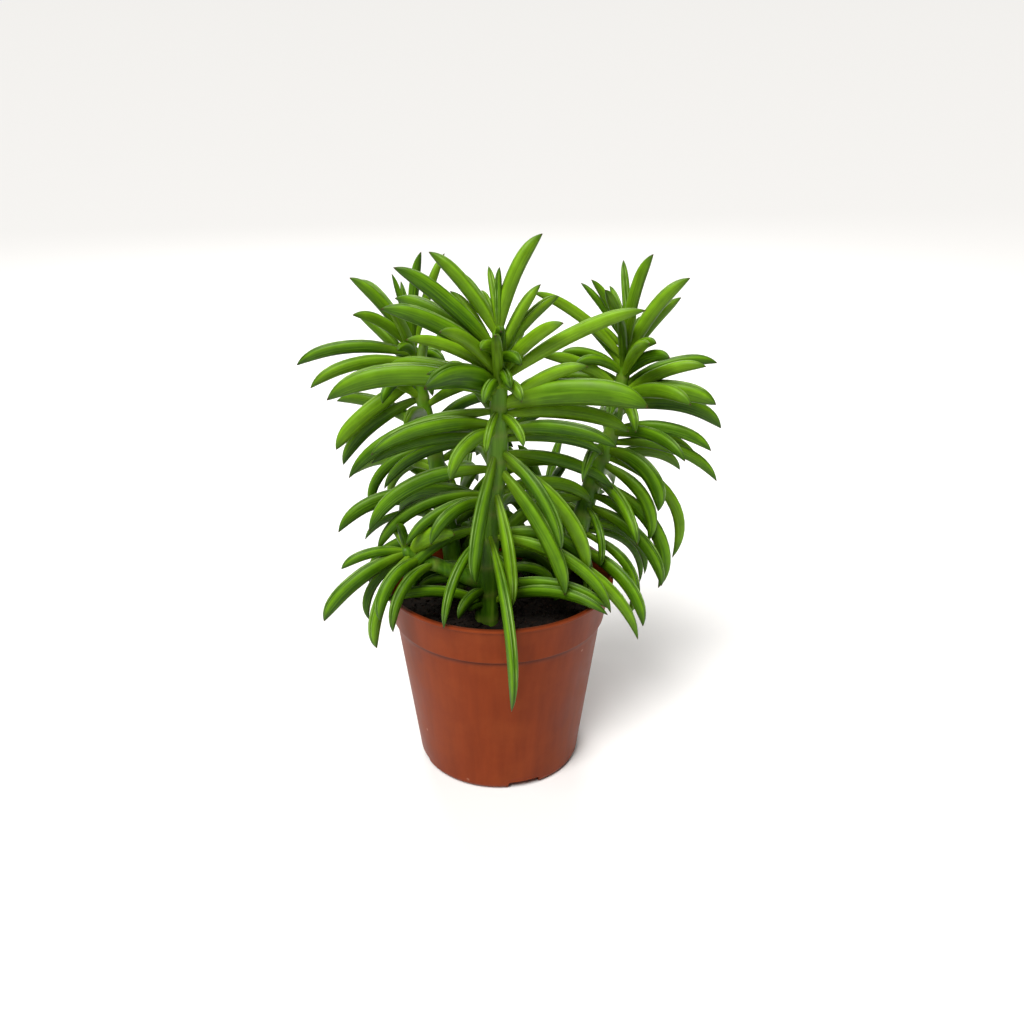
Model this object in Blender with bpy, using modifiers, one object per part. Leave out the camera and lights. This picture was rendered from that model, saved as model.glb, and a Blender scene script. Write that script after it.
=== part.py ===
"""Potted peperomia with bean-shaped leaves, in a round nursery pot of terracotta-coloured plastic.

The origin is the centre of the pot's underside, +Z is up and the front faces -Y.
Lengths in the tables below are millimetres, and MM turns them into metres.
"""

import math
import random

import bmesh
import bpy
import numpy as np
from mathutils import Matrix, Vector

MM = 0.001
GAP = 0.3

# Pot, a 105 mm nursery pot
POT_HEIGHT = 92.5
RIM_RADIUS = 52.2
LIP_HEIGHT = 1.6
LIP_DEPTH = 0.3
COLLAR_HEIGHT = 18.4
COLLAR_FOOT_RADIUS = 48.4
SHOULDER_HEIGHT = 3.6
BODY_TOP_RADIUS = 46.6
BASE_RADIUS = 37.2
BASE_ROUNDING = 3.4
WALL = 1.4
FLOOR_THICKNESS = 1.6
FOOT_RING_WIDTH = 6.0
FOOT_RECESS = 4.0
HUB_RADIUS = 9.0
EDGE_EASE = 0.5
FLOOR_CORNER = 1.8
INNER_SHOULDER_DROP = 0.6
ROUNDING_STEPS = 3
POT_SIDES = 36

NOTCH_COUNT = 4
NOTCH_WIDTH = 15.0
NOTCH_HEIGHT = 3.7
NOTCH_CORNER = 1.2
NOTCH_REACH = 16.0
NOTCH_HEADING = -71.5
DRAIN_HOLE_RADIUS = 3.0
DRAIN_CIRCLE_RADIUS = 20.0
DRAIN_CUT = 8.0
DRAIN_SIDES = 12

# Soil, which fills the pot with a margin and has an uneven top
SOIL_TOP = 77.0
SOIL_SWELL = 1.1
SOIL_WAVES = (7.0, 9.0, 5.0)
SOIL_PHASE = 1.1
SOIL_CROSS_SHARE = 0.6
SOIL_SIDES = 24
SOIL_RINGS = 3
SOIL_MARGIN = 0.9
SOIL_FOOT_INSET = 3.5
SOIL_FOOT_CORNER = 2.2

# Stems: route from the foot in the soil to the tip, with the radius at both ends
STEM_SIDES = 8
STEM_STEP = 14.0
STEM_TAPER = 2.1
BLUNT_TIP = 0.55
HOLE_SIDES = 12
HOLE_PLAY = 0.2
STEMS = {
    "stem_front": (
        [(-5, -15, 54), (-5, -15, 82), (-4, -15, 122), (0, -18, 155), (1, -24, 185), (1, -28, 214)],
        5.4, 2.6,
    ),
    "stem_left": (
        [(-20, 10, 54), (-20, 10, 84), (-24, 13, 115), (-28, 15, 142), (-33, 18, 168), (-37, 20, 193)],
        4.6, 2.4,
    ),
    "stem_right": (
        [(26, 10, 54), (27, 10, 80), (35, 11, 103), (44, 15, 136), (51, 17, 156), (57, 20, 195)],
        4.8, 2.4,
    ),
    "stem_back_left": ([(-14, 30, 54), (-14, 30, 78), (-17, 37, 98), (-20, 42, 116)], 3.8, 2.2),
    "stem_back_right": ([(14, 32, 54), (14, 32, 78), (19, 40, 98), (24, 46, 114)], 3.8, 2.2),
}
SIDE_SHOOT = ([(-5, -15, 95), (-20, -20, 104), (-32, -23, 111), (-41, -25, 117)], 3.6, 2.2)

# Leaves that show from the front, each with the height of its foot on the stem, how far its tip lies
# to the right, to the front and upwards from there, the depth of its blade and the rise of its arch
FRONT_TOP = [
    (209, 17, -5, 41, 5.2, 3), (201, 24, -15, 22, 4.6, 2), (193, 25, 12, 26, 5.0, 2),
    (191, 57, 5, 31, 5.4, 3), (180, 59, 15, 5, 9.8, 4), (176, 53, 5, -5, 6.0, 4),
    (168, 48, 14, -1, 5.8, 4), (158, 50, -12, -21, 5.0, 4), (176, 10, 14, -8, 3.8, 3),
    (183, -1, 28, 35, 5.0, 3), (178, -5, 16, -12, 3.6, 3), (202, -40, 5, 37, 6.0, 2),
    (209, -27, -5, 34, 5.0, 2), (210, -17, -15, 23, 3.4, 2), (211, -8, -14, 16, 3.4, 1),
    (211, -4, -12, 25, 3.0, 1), (212, 1, -3, 26, 2.6, 0), (197, -45, 10, 27, 6.6, 3),
    (199, -42, -15, 23, 6.0, 3), (193, -34, 15, 23, 4.3, 3), (192, -22, 25, 27, 5.0, 3),
    (186, -28, 30, 12, 9.0, 4), (185, -69, 5, 0, 8.5, 8), (178, -62, 6, -27, 5.6, 7),
    (171, -53, 12, -5, 6.0, 5), (166, -53, 2, -11, 4.5, 4), (164, -50, -15, -28, 4.5, 7),
    (168, -19, 22, -12, 5.5, 6), (187, 0, 8, 20, 4.5, 1), (164, 44, -6, -8, 4.6, 4),
    (188, -46, -12, 6, 5.5, 3),
]
FRONT_LOW = [
    (118, 63, 15, -48, 5.2, 12), (160, -9, 18, -54, 6.2, 4), (142, 7, 16, -50, 6.0, 6),
    (120, 10, 47, -61, 5.2, 18), (152, 29, 18, -52, 6.4, 4), (160, 26, 22, -36, 6.0, 6),
    (156, 38, 8, -52, 6.0, 8), (118, 54, 16, -27, 5.0, 10), (90, 42, 5, -1, 3.8, 4),
    (92, 53, 18, 0, 4.4, 7), (84, 52, 25, 9, 5.0, 8), (150, -53, 14, -22, 6.0, 9),
    (138, -49, 10, -22, 5.0, 9), (137, -36, 16, -15, 4.3, 5), (135, -25, 22, -10, 5.0, 6),
    (118, -18, 35, -26, 4.7, 10), (108, 11, 14, -4, 4.0, 3), (90, -31, 3, 3, 4.8, 6),
    (85, -43, 20, 12, 4.6, 4), (90, -12, 20, -2, 4.5, 4), (84, -12, 9, 3, 3.0, 1),
    (84, -8, 13, 4, 2.6, 1), (98, 30, -4, -6, 4.2, 6),
]
SHOOT_LEAVES = [
    (115, -36, 14, -26, 6.4, 4), (115, -29, 4, -4, 4.2, 3), (114, 19, 8, 13, 7.0, 2),
    (116, -2, 4, 15, 3.5, 1), (116, -6, -5, 10, 3.0, 1), (114, -20, 2, -31, 3.8, 6),
    (114, -15, 18, -36, 5.6, 7), (111, -18, 16, -23, 5.5, 8), (108, -17, 24, -20, 5.0, 9),
]
LEFT_LEAVES = [
    (189, -51, 5, -3, 5.3, 5), (185, -45, 12, -7, 5.3, 5), (190, -24, 15, 21, 4.4, 3),
    (190, -26, 3, 34, 5.0, 2), (190, -24, -15, 29, 5.0, 2), (192, -8, 0, 33, 2.4, 0),
    (192, -5, -8, 28, 2.4, 0), (191, 5, 3, 44, 4.0, 1), (190, 14, -8, 42, 3.6, 1),
    (178, -37, 10, -29, 6.8, 2), (170, -37, 0, -32, 5.6, 4), (148, -28, 5, -29, 4.4, 8),
    (141, -23, -12, -24, 3.6, 6), (118, -42, 0, -5, 3.6, 6), (116, -39, -10, -18, 3.2, 6),
    (186, 14, 14, 4, 4.2, 3), (182, 8, 22, -4, 4.4, 3), (188, -6, 16, 8, 3.6, 2), (180, -14, 20, -6, 4.6, 4),
]
RIGHT_TOP = [
    (191, 9, 3, 43, 4.8, 2), (193, -1, -6, 37, 4.0, 1), (193, -8, -12, 24, 3.0, 1),
    (192, -21, -5, 28, 2.8, 1), (192, -17, 2, 31, 3.5, 1), (190, -23, -3, 16, 2.8, 2),
    (186, -41, 8, 33, 4.4, 3), (184, 26, 3, 40, 5.6, 3), (186, 20, -15, 19, 3.5, 2),
    (182, 11, 22, 19, 4.4, 3), (178, 18, 20, 18, 5.0, 3), (174, 42, 0, 12, 4.8, 4),
    (171, 41, 12, 0, 7.8, 3), (169, 30, 22, 6, 6.0, 4), (165, 48, -5, -11, 6.5, 6),
    (167, 6, 22, -5, 5.0, 5), (175, -47, -8, -5, 4.4, 5), (177, -35, -18, -4, 3.6, 5),
    (180, -22, 12, 9, 4.0, 3), (181, -28, 0, 9, 4.0, 3), (180, -4, 18, 30, 4.4, 3),
    (187, 1, 15, 24, 3.8, 2), (172, -42, 2, -4, 5.0, 4),
]
RIGHT_LOW = [
    (155, 43, 12, -5, 5.2, 5), (153, 41, -5, -17, 5.0, 6), (149, 50, 3, -17, 4.8, 7),
    (146, 23, 18, -22, 7.0, 8), (143, 34, 2, -50, 4.8, 14), (140, 22, 14, -32, 5.2, 9),
    (132, 30, 12, -50, 6.0, 12), (125, 21, 18, -17, 4.4, 7), (112, 31, -3, -28, 3.5, 9),
    (108, 31, -12, -33, 3.2, 10), (112, 17, -8, -3, 2.8, 2), (120, 6, 18, -22, 3.6, 9),
    (108, 23, 12, -38, 4.4, 13),
]

# Leaves that follow the rule, in bands up each stem: lowest and highest foot, millimetres of stem for
# each leaf, the widest heading from the back that is filled, and the rise of the lowest and highest leaf.
# The upper front of the tall stems has only the leaves listed above
RULE_BANDS = [
    ("stem_front", 94, 150, 4.0, 130, -40, -5),
    ("stem_front", 150, 206, 4.4, 120, -5, 58),
    ("stem_right", 96, 150, 4.0, 180, -40, -5),
    ("stem_right", 150, 192, 3.2, 180, -5, 58),
    ("stem_left", 96, 146, 4.0, 180, -40, -5),
    ("stem_left", 146, 190, 3.2, 180, -5, 58),
    ("stem_back_left", 86, 115, 2.6, 180, -5, 58),
    ("stem_back_right", 86, 113, 2.6, 180, -5, 58),
]
GOLDEN_ANGLE = 137.5
RULE_LENGTH = 46.0
RULE_DEPTH = 5.4
RULE_ARCH = 5.5
RULE_SIZES = (0.88, 1.1)
TENDER_SHORTER = 0.3
TWIST = 22.0
SEED = 8

# Leaf blade: a folded pod with a groove between two margins, a belly and a keel
DEPTH_SEEN = 0.88
BREADTH_LEAST = 1.2
BREADTH_SHARE = 0.55
STALK_SHARE = 0.36
FULLEST = 0.42
TIP_FULLNESS = 4.4
TIP_LEAN = 0.5
BEND_SHARE = 0.6
STATIONS = (0.0, 0.1, 0.32, 0.66, 0.87)
FEW_STATIONS = (0.0, 0.18, 0.52, 0.83)
LEAST_DEPTH_FOR_ALL = 4.8
SECTION = ((-0.30, 0.46), (0.0, 0.34), (0.30, 0.46), (0.5, -0.02), (0.0, -0.5), (-0.5, -0.02))

# How leaves keep clear of each other
CLEAR_OTHER_STEM = 0.5
CLEAR_SAME_STEM = -0.8
CLEAR_POT = 0.6
ROOT_BEADS = 8
TURN_STEP = 4.0
TURN_COST = 0.05
FRONT_TURNS = 5
RULE_TURNS = 10
STEEPEST = 88.0
SAMPLES = 24
BEAD_STEP = 0.2

# How the leaves and their stem are fused, with distances in metres
UNION_SOLVER = "MANIFOLD"
WELD = 0.000005
FINE_WELD = 0.000002
SHARP_ANGLE = 50.0

# Colours, linear
TERRACOTTA = (0.262, 0.058, 0.021)
EARTH = (0.022, 0.013, 0.008)
LEAF_GREEN = (0.078, 0.246, 0.008)


def clear_scene():
    for item in list(bpy.data.objects):
        bpy.data.objects.remove(item, do_unlink=True)


def new_collection(name):
    collection = bpy.data.collections.new(name)
    bpy.context.scene.collection.children.link(collection)
    return collection


def new_material(name, colour, roughness):
    material = bpy.data.materials.new(name)
    material.use_nodes = True
    shader = material.node_tree.nodes["Principled BSDF"]
    shader.inputs["Base Color"].default_value = (*colour, 1.0)
    shader.inputs["Roughness"].default_value = roughness
    shader.inputs["Metallic"].default_value = 0.0
    return material


def link(item, collection, material=None):
    collection.objects.link(item)
    if material:
        item.data.materials.append(material)
    return item


def as_cutter(item):
    item.hide_render = True
    item.display_type = "WIRE"
    return item


def turned(name, profile, sides):
    """An object whose open profile of (radius, height) points is turned about Z."""
    mesh = bpy.data.meshes.new(name)
    points = [(radius * MM, 0.0, height * MM) for radius, height in profile]
    mesh.from_pydata(points, [(i, i + 1) for i in range(len(points) - 1)], [])
    item = bpy.data.objects.new(name, mesh)
    screw = item.modifiers.new("Turn", "SCREW")
    screw.steps = sides
    screw.render_steps = sides
    screw.use_merge_vertices = True
    screw.merge_threshold = WELD
    screw.use_smooth_shade = True
    return item


def cut(item, cutter):
    boolean = item.modifiers.new("Cut " + cutter.name, "BOOLEAN")
    boolean.operation = "DIFFERENCE"
    boolean.object = cutter


def wall_radius(height, inside=False):
    """Outer or inner radius of the pot's wall at a height."""
    shoulder_top = POT_HEIGHT - COLLAR_HEIGHT
    shoulder_foot = shoulder_top - SHOULDER_HEIGHT
    heights = (0.0, shoulder_foot, shoulder_top, POT_HEIGHT)
    radii = (BASE_RADIUS, BODY_TOP_RADIUS, COLLAR_FOOT_RADIUS, RIM_RADIUS - LIP_DEPTH)
    return float(np.interp(height, heights, radii)) - (WALL if inside else 0.0)


def pot_profile():
    """From the middle of the floor up the inside, over the lip and down the outside."""
    shoulder_top = POT_HEIGHT - COLLAR_HEIGHT
    shoulder_foot = shoulder_top - SHOULDER_HEIGHT
    floor = FOOT_RECESS + FLOOR_THICKNESS
    ring_inside = BASE_RADIUS - BASE_ROUNDING - FOOT_RING_WIDTH / 2
    inside = [
        (0.0, floor),
        (wall_radius(floor, True) - FLOOR_CORNER, floor),
        (wall_radius(floor + FLOOR_CORNER, True), floor + FLOOR_CORNER),
        (wall_radius(shoulder_foot, True), shoulder_foot - INNER_SHOULDER_DROP),
        (wall_radius(shoulder_top, True), shoulder_top - INNER_SHOULDER_DROP),
        (RIM_RADIUS - LIP_DEPTH - WALL, POT_HEIGHT - EDGE_EASE),
    ]
    lip_foot = POT_HEIGHT - LIP_HEIGHT
    lip = [
        (RIM_RADIUS - WALL, POT_HEIGHT),
        (RIM_RADIUS - EDGE_EASE, POT_HEIGHT),
        (RIM_RADIUS, POT_HEIGHT - EDGE_EASE),
        (RIM_RADIUS, lip_foot),
        (wall_radius(lip_foot - EDGE_EASE), lip_foot - EDGE_EASE),
    ]
    outside = [
        (COLLAR_FOOT_RADIUS, shoulder_top + EDGE_EASE),
        (COLLAR_FOOT_RADIUS - EDGE_EASE, shoulder_top - EDGE_EASE),
        (BODY_TOP_RADIUS, shoulder_foot),
    ]
    rounding = []
    for i in range(ROUNDING_STEPS + 1):
        angle = math.radians(90.0 * i / ROUNDING_STEPS)
        radius = wall_radius(BASE_ROUNDING) - BASE_ROUNDING * (1 - math.cos(angle))
        rounding.append((radius, BASE_ROUNDING * (1 - math.sin(angle))))
    underside = [
        (ring_inside + EDGE_EASE, 0.0),
        (ring_inside, EDGE_EASE),
        (ring_inside, FOOT_RECESS),
        (HUB_RADIUS, FOOT_RECESS),
        (HUB_RADIUS, EDGE_EASE),
        (HUB_RADIUS - EDGE_EASE, 0.0),
        (0.0, 0.0),
    ]
    return inside + lip + outside + rounding + underside


def notch_cutters(collection):
    """Boxes with rounded upper corners that cut the drain notches through the foot ring."""
    size = Vector((NOTCH_REACH, NOTCH_WIDTH, 2 * NOTCH_HEIGHT)) * MM
    for i in range(NOTCH_COUNT):
        heading = math.radians(NOTCH_HEADING + i * 360.0 / NOTCH_COUNT)
        solid = bmesh.new()
        bmesh.ops.create_cube(solid, size=1.0)
        bmesh.ops.scale(solid, vec=size, verts=solid.verts)
        corners = [
            edge for edge in solid.edges
            if all(vert.co.z > 0 for vert in edge.verts)
            and edge.verts[0].co.y == edge.verts[1].co.y
        ]
        bmesh.ops.bevel(
            solid, geom=corners, offset=NOTCH_CORNER * MM, segments=3, profile=0.5, affect="EDGES"
        )
        mesh = bpy.data.meshes.new("notch_cutter")
        solid.to_mesh(mesh)
        solid.free()
        cutter = as_cutter(bpy.data.objects.new(f"notch_cutter_{i + 1}", mesh))
        cutter.location = Vector((math.cos(heading), math.sin(heading), 0)) * BASE_RADIUS * MM
        cutter.rotation_euler.z = heading
        yield link(cutter, collection)


def drain_cutters(collection):
    """Round cutters for the drain holes in the raised floor, between the notches."""
    for i in range(NOTCH_COUNT):
        heading = math.radians(NOTCH_HEADING + (i + 0.5) * 360.0 / NOTCH_COUNT)
        solid = bmesh.new()
        bmesh.ops.create_cone(
            solid, cap_ends=True, segments=DRAIN_SIDES,
            radius1=DRAIN_HOLE_RADIUS * MM, radius2=DRAIN_HOLE_RADIUS * MM, depth=DRAIN_CUT * MM,
        )
        mesh = bpy.data.meshes.new("drain_cutter")
        solid.to_mesh(mesh)
        solid.free()
        cutter = as_cutter(bpy.data.objects.new(f"drain_cutter_{i + 1}", mesh))
        circle = DRAIN_CIRCLE_RADIUS * MM
        cutter.location = (math.cos(heading) * circle, math.sin(heading) * circle, DRAIN_CUT / 2 * MM)
        yield link(cutter, collection)


def make_pot(collection, cutters, material):
    pot = link(turned("pot", pot_profile(), POT_SIDES), collection, material)
    for cutter in [*notch_cutters(cutters), *drain_cutters(cutters)]:
        cut(pot, cutter)
    return pot


def soil_height(x, y):
    """Height of the uneven soil at a place, in millimetres."""
    across, deep, slanting = SOIL_WAVES
    swell = math.sin(x / across + SOIL_PHASE) * math.cos(y / deep)
    return SOIL_TOP + SOIL_SWELL * (swell + SOIL_CROSS_SHARE * math.sin((x - y) / slanting))


def make_soil(collection, cutters, material, lines):
    floor = FOOT_RECESS + FLOOR_THICKNESS + GAP
    shoulder_top = POT_HEIGHT - COLLAR_HEIGHT
    shoulder_foot = shoulder_top - SHOULDER_HEIGHT
    rim = wall_radius(SOIL_TOP, True) - SOIL_MARGIN
    top = [(rim * i / SOIL_RINGS, SOIL_TOP) for i in range(SOIL_RINGS + 1)]
    corner = floor + SOIL_FOOT_CORNER
    side = [
        (wall_radius(shoulder_top, True) - SOIL_MARGIN, shoulder_top - INNER_SHOULDER_DROP),
        (wall_radius(shoulder_foot, True) - SOIL_MARGIN, shoulder_foot - INNER_SHOULDER_DROP),
        (wall_radius(corner, True) - SOIL_MARGIN, corner),
        (wall_radius(floor, True) - SOIL_FOOT_INSET, floor),
        (0.0, floor),
    ]
    source = link(turned("soil_turned", top + side, SOIL_SIDES), cutters)
    soil = link(bpy.data.objects.new("soil", evaluated_mesh(source, "soil")), collection, material)
    bpy.data.objects.remove(source, do_unlink=True)
    for vert in soil.data.vertices:
        if vert.co.z > (SOIL_TOP - GAP) * MM:
            vert.co.z = soil_height(vert.co.x / MM, vert.co.y / MM) * MM
    for name, stem_lines in lines.items():
        cut(soil, stem_hole(name, *stem_lines[0], cutters))
    return soil


def evaluated_mesh(item, name):
    """The item's mesh with its modifiers or bevel applied and doubled points welded."""
    graph = bpy.context.evaluated_depsgraph_get()
    mesh = bpy.data.meshes.new_from_object(item.evaluated_get(graph))
    mesh.name = name
    solid = bmesh.new()
    solid.from_mesh(mesh)
    bmesh.ops.remove_doubles(solid, verts=solid.verts, dist=WELD)
    bmesh.ops.recalc_face_normals(solid, faces=solid.faces)
    solid.to_mesh(mesh)
    solid.free()
    return mesh


def through_points(points, step):
    """Points about a step apart on the smooth curve that passes through the given ones."""
    route = [Vector(point) for point in points]
    route = [2 * route[0] - route[1], *route, 2 * route[-1] - route[-2]]
    found = [route[1]]
    for a, b, c, d in zip(route, route[1:], route[2:], route[3:]):
        pieces = max(1, round((c - b).length / step))
        for i in range(1, pieces + 1):
            t = i / pieces
            bend = (c - a) * t + (2 * a - 5 * b + 4 * c - d) * t**2 + (3 * b - a - 3 * c + d) * t**3
            found.append(b + bend / 2)
    return found


def stem_line(route, foot_radius, tip_radius):
    """Points and radii along a stem, which narrows most near its tip."""
    points = through_points(route, STEM_STEP)
    steps = [0.0] + [(b - a).length for a, b in zip(points, points[1:])]
    gone = np.cumsum(steps) / sum(steps)
    radii = foot_radius + (tip_radius - foot_radius) * gone**STEM_TAPER
    radii[-1] *= BLUNT_TIP
    return points, radii


def tube(name, points, radii, sides):
    """A closed round tube through the points, as a mesh."""
    curve = bpy.data.curves.new(name, "CURVE")
    curve.dimensions = "3D"
    curve.bevel_depth = MM
    curve.bevel_resolution = (sides - 4) // 2
    curve.use_fill_caps = True
    spline = curve.splines.new("POLY")
    spline.points.add(len(points) - 1)
    for spot, point, radius in zip(spline.points, points, radii):
        spot.co = (*(point * MM), 1.0)
        spot.radius = radius
    guide = bpy.data.objects.new(name + "_guide", curve)
    bpy.context.scene.collection.objects.link(guide)
    item = bpy.data.objects.new(name, evaluated_mesh(guide, name))
    item.matrix_world = guide.matrix_world
    bpy.data.objects.remove(guide, do_unlink=True)
    return item


def stem_hole(name, points, radii, cutters):
    """The plain hole that a stem stands in: its foot made a gap wider, from under it to above the soil."""
    count = 2 + sum(point.z < SOIL_TOP + 2 * SOIL_SWELL for point in points)
    wider = [radius + GAP + HOLE_PLAY for radius in radii[:count]]
    line = [point.copy() for point in points[:count]]
    line[0].z -= GAP
    return as_cutter(link(tube(name + "_hole", line, wider, HOLE_SIDES), cutters))


def stem_beads(points, radii):
    """Balls close together along a stem that stand for it where room is sought."""
    places = np.arange(0, len(points) - 1, BEAD_STEP)
    line = np.array(points)
    centres = [np.interp(places, range(len(points)), line[:, i]) for i in range(3)]
    return np.stack(centres, axis=1), np.interp(places, range(len(points)), radii)


def spot_at(points, height):
    """The place on a stem's axis at a height."""
    heights = [point.z for point in points]
    return Vector([float(np.interp(height, heights, [point[i] for point in points])) for i in range(3)])


class Leaf:
    """A folded blade along an arch from its foot on the stem's axis to its tip."""

    def __init__(self, foot, reach, depth, arch, twist, stations):
        self.foot = foot
        self.tip = foot + reach
        self.depth = depth / DEPTH_SEEN
        self.twist = twist
        self.stations = stations
        along = reach.normalized()
        lift = Vector((0, 0, 1)) - along * along.z
        lift = lift.normalized() if lift.length > 0.01 else Vector((0, 1, 0))
        self.side = along.cross(lift)
        self.bend = foot + reach * BEND_SHARE + 2 * arch * lift

    def centre(self, share):
        """The middle of the blade, which lies above the arch so that the point ends near the keel."""
        rest = 1 - share
        on_arch = self.foot * rest**2 + self.bend * 2 * share * rest + self.tip * share**2
        return on_arch + self.frame(share)[1] * self.shape(share)[1] / 2 * TIP_LEAN

    def frame(self, share):
        """Side and upward directions of the blade at a share of its length."""
        along = ((self.bend - self.foot) * (1 - share) + (self.tip - self.bend) * share).normalized()
        turn = Matrix.Rotation(math.radians(self.twist) * share, 3, along)
        return turn @ self.side, turn @ self.side.cross(along)

    def shape(self, share):
        """Breadth and depth of the blade at a share of its length."""
        if share < FULLEST:
            swell = STALK_SHARE + (1 - STALK_SHARE) * math.sin(math.pi / 2 * share / FULLEST)
        else:
            swell = 1 - ((share - FULLEST) / (1 - FULLEST)) ** TIP_FULLNESS
        return (BREADTH_LEAST + BREADTH_SHARE * self.depth) * swell, self.depth * swell

    def beads(self):
        """Balls along the blade that stand for it where room is sought."""
        shares = [(i + 0.5) / SAMPLES for i in range(SAMPLES)]
        centres = np.array([self.centre(share) for share in shares])
        return centres, np.array([self.shape(share)[1] / 2 for share in shares])

    def mesh(self, name):
        solid = bmesh.new()
        rings = []
        for share in self.stations:
            centre = self.centre(share)
            side, up = self.frame(share)
            breadth, depth = self.shape(share)
            ring = [centre + side * x * breadth + up * z * depth for x, z in SECTION]
            rings.append([solid.verts.new(point * MM) for point in ring])
        tip = solid.verts.new(self.tip * MM)
        count = len(SECTION)
        for near, far in zip(rings, rings[1:]):
            for i in range(count):
                j = (i + 1) % count
                solid.faces.new((near[i], near[j], far[j], far[i]))
        for i in range(count):
            solid.faces.new((rings[-1][i], rings[-1][(i + 1) % count], tip))
        solid.faces.new(rings[0])
        bmesh.ops.recalc_face_normals(solid, faces=solid.faces)
        mesh = bpy.data.meshes.new(name)
        solid.to_mesh(mesh)
        solid.free()
        return mesh


def joined(first, second):
    return np.vstack([first[0], second[0]]), np.concatenate([first[1], second[1]])


def gap(beads, others):
    """The least room between two sets of balls, which is negative where they cross."""
    if not len(others[0]):
        return math.inf
    apart = np.linalg.norm(beads[0][:, None] - others[0][None], axis=2)
    return float((apart - beads[1][:, None] - others[1][None]).min())


class Room:
    """What has been placed, so that a new leaf can be turned aside until it is clear."""

    def __init__(self, lines):
        self.leaves = {name: [] for name in lines}
        self.whole = {}
        self.outer = {}
        for name, stem_lines in lines.items():
            self.whole[name] = stem_beads(*stem_lines[0])
            for line in stem_lines[1:]:
                self.whole[name] = joined(self.whole[name], stem_beads(*line))
            self.outer[name] = (np.empty((0, 3)), np.empty(0))

    def gap_to_others(self, stem, beads):
        return min(gap(beads, whole) for name, whole in self.whole.items() if name != stem)

    def gap_to_pot(self, beads):
        least = math.inf
        for (x, y, z), radius in zip(*beads):
            from_axis = math.hypot(x, y)
            inner = wall_radius(min(z, POT_HEIGHT), True)
            outer = wall_radius(min(z, POT_HEIGHT)) + LIP_DEPTH
            beside = max(inner - from_axis, from_axis - outer)
            wall = beside
            if z > POT_HEIGHT:
                wall = math.hypot(z - POT_HEIGHT, max(0.0, beside))
            ground = z - SOIL_TOP - 2 * SOIL_SWELL if from_axis < RIM_RADIUS else math.inf
            least = min(least, wall - radius, ground - radius)
        return least

    def place(self, stem, leaf_at, turns):
        """Keeps the first turn of a leaf that is clear of all, or the best that is clear of other stems."""
        best, best_worth = None, -math.inf
        for turn, lift in aside(turns):
            leaf = leaf_at(turn, lift)
            beads = leaf.beads()
            if self.gap_to_pot(beads) < CLEAR_POT or self.gap_to_others(stem, beads) < CLEAR_OTHER_STEM:
                continue
            outer = (beads[0][ROOT_BEADS:], beads[1][ROOT_BEADS:])
            same = min(0.0, gap(outer, self.outer[stem]) - CLEAR_SAME_STEM)
            worth = same - math.hypot(turn, lift) * TURN_COST
            if worth > best_worth:
                best, best_worth = (leaf, beads, outer), worth
            if same == 0.0:
                break
        if best is None:
            return None
        leaf, beads, outer = best
        self.leaves[stem].append(leaf)
        self.whole[stem] = joined(self.whole[stem], beads)
        self.outer[stem] = joined(self.outer[stem], outer)
        return leaf


def aside(count):
    """Turns about the upright and changes of rise, in degrees, from none to the widest."""
    yield 0.0, 0.0
    for ring in range(1, count + 1):
        for eighth in range(8):
            angle = math.radians(45 * eighth)
            yield ring * TURN_STEP * math.cos(angle), ring * TURN_STEP * math.sin(angle)


def turned_reach(reach, turn, lift):
    """A leaf's reach turned about the upright and raised, in degrees."""
    flat = math.hypot(reach.x, reach.y)
    heading = math.atan2(reach.y, reach.x) + math.radians(turn)
    rise = min(math.atan2(reach.z, flat) + math.radians(lift), math.radians(STEEPEST))
    flat = reach.length * math.cos(rise)
    return Vector((flat * math.cos(heading), flat * math.sin(heading), reach.length * math.sin(rise)))


def turnable(foot, reach, depth, arch, twist, stations):
    """A leaf as a function of the turn and lift that room is sought with."""
    return lambda turn, lift: Leaf(foot, turned_reach(reach, turn, lift), depth, arch, twist, stations)


def place_listed(room, stem, points, rows, draw):
    for height, right, front, up, depth, arch in rows:
        foot = spot_at(points, height)
        reach = Vector((right, -front, up))
        twist = draw.uniform(-TWIST, TWIST)
        stations = STATIONS if depth >= LEAST_DEPTH_FOR_ALL else FEW_STATIONS
        room.place(stem, turnable(foot, reach, depth, arch, twist, stations), FRONT_TURNS)


def place_by_rule(room, points, band, draw):
    """Leaves in a spiral up the stem: low ones hang, high ones rise and are shorter."""
    stem, low, high, step, widest, lowest_rise, highest_rise = band
    for i in range(int((high - low) / step)):
        heading = (i * GOLDEN_ANGLE + 180) % 360 - 180
        size = draw.uniform(*RULE_SIZES)
        twist = draw.uniform(-TWIST, TWIST)
        if abs(heading) > widest:
            continue
        height = low + i * step
        share = i * step / (high - low)
        rise = math.radians(lowest_rise + (highest_rise - lowest_rise) * share)
        flat = Vector((math.sin(math.radians(heading)), math.cos(math.radians(heading)), 0))
        size *= 1 - TENDER_SHORTER * max(0.0, math.sin(rise))
        reach = (flat * math.cos(rise) + Vector((0, 0, math.sin(rise)))) * RULE_LENGTH * size
        arch = RULE_ARCH * (1 - math.sin(rise))
        foot = spot_at(points, height)
        leaf_at = turnable(foot, reach, RULE_DEPTH * size, arch, twist, FEW_STATIONS)
        room.place(stem, leaf_at, RULE_TURNS)


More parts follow.
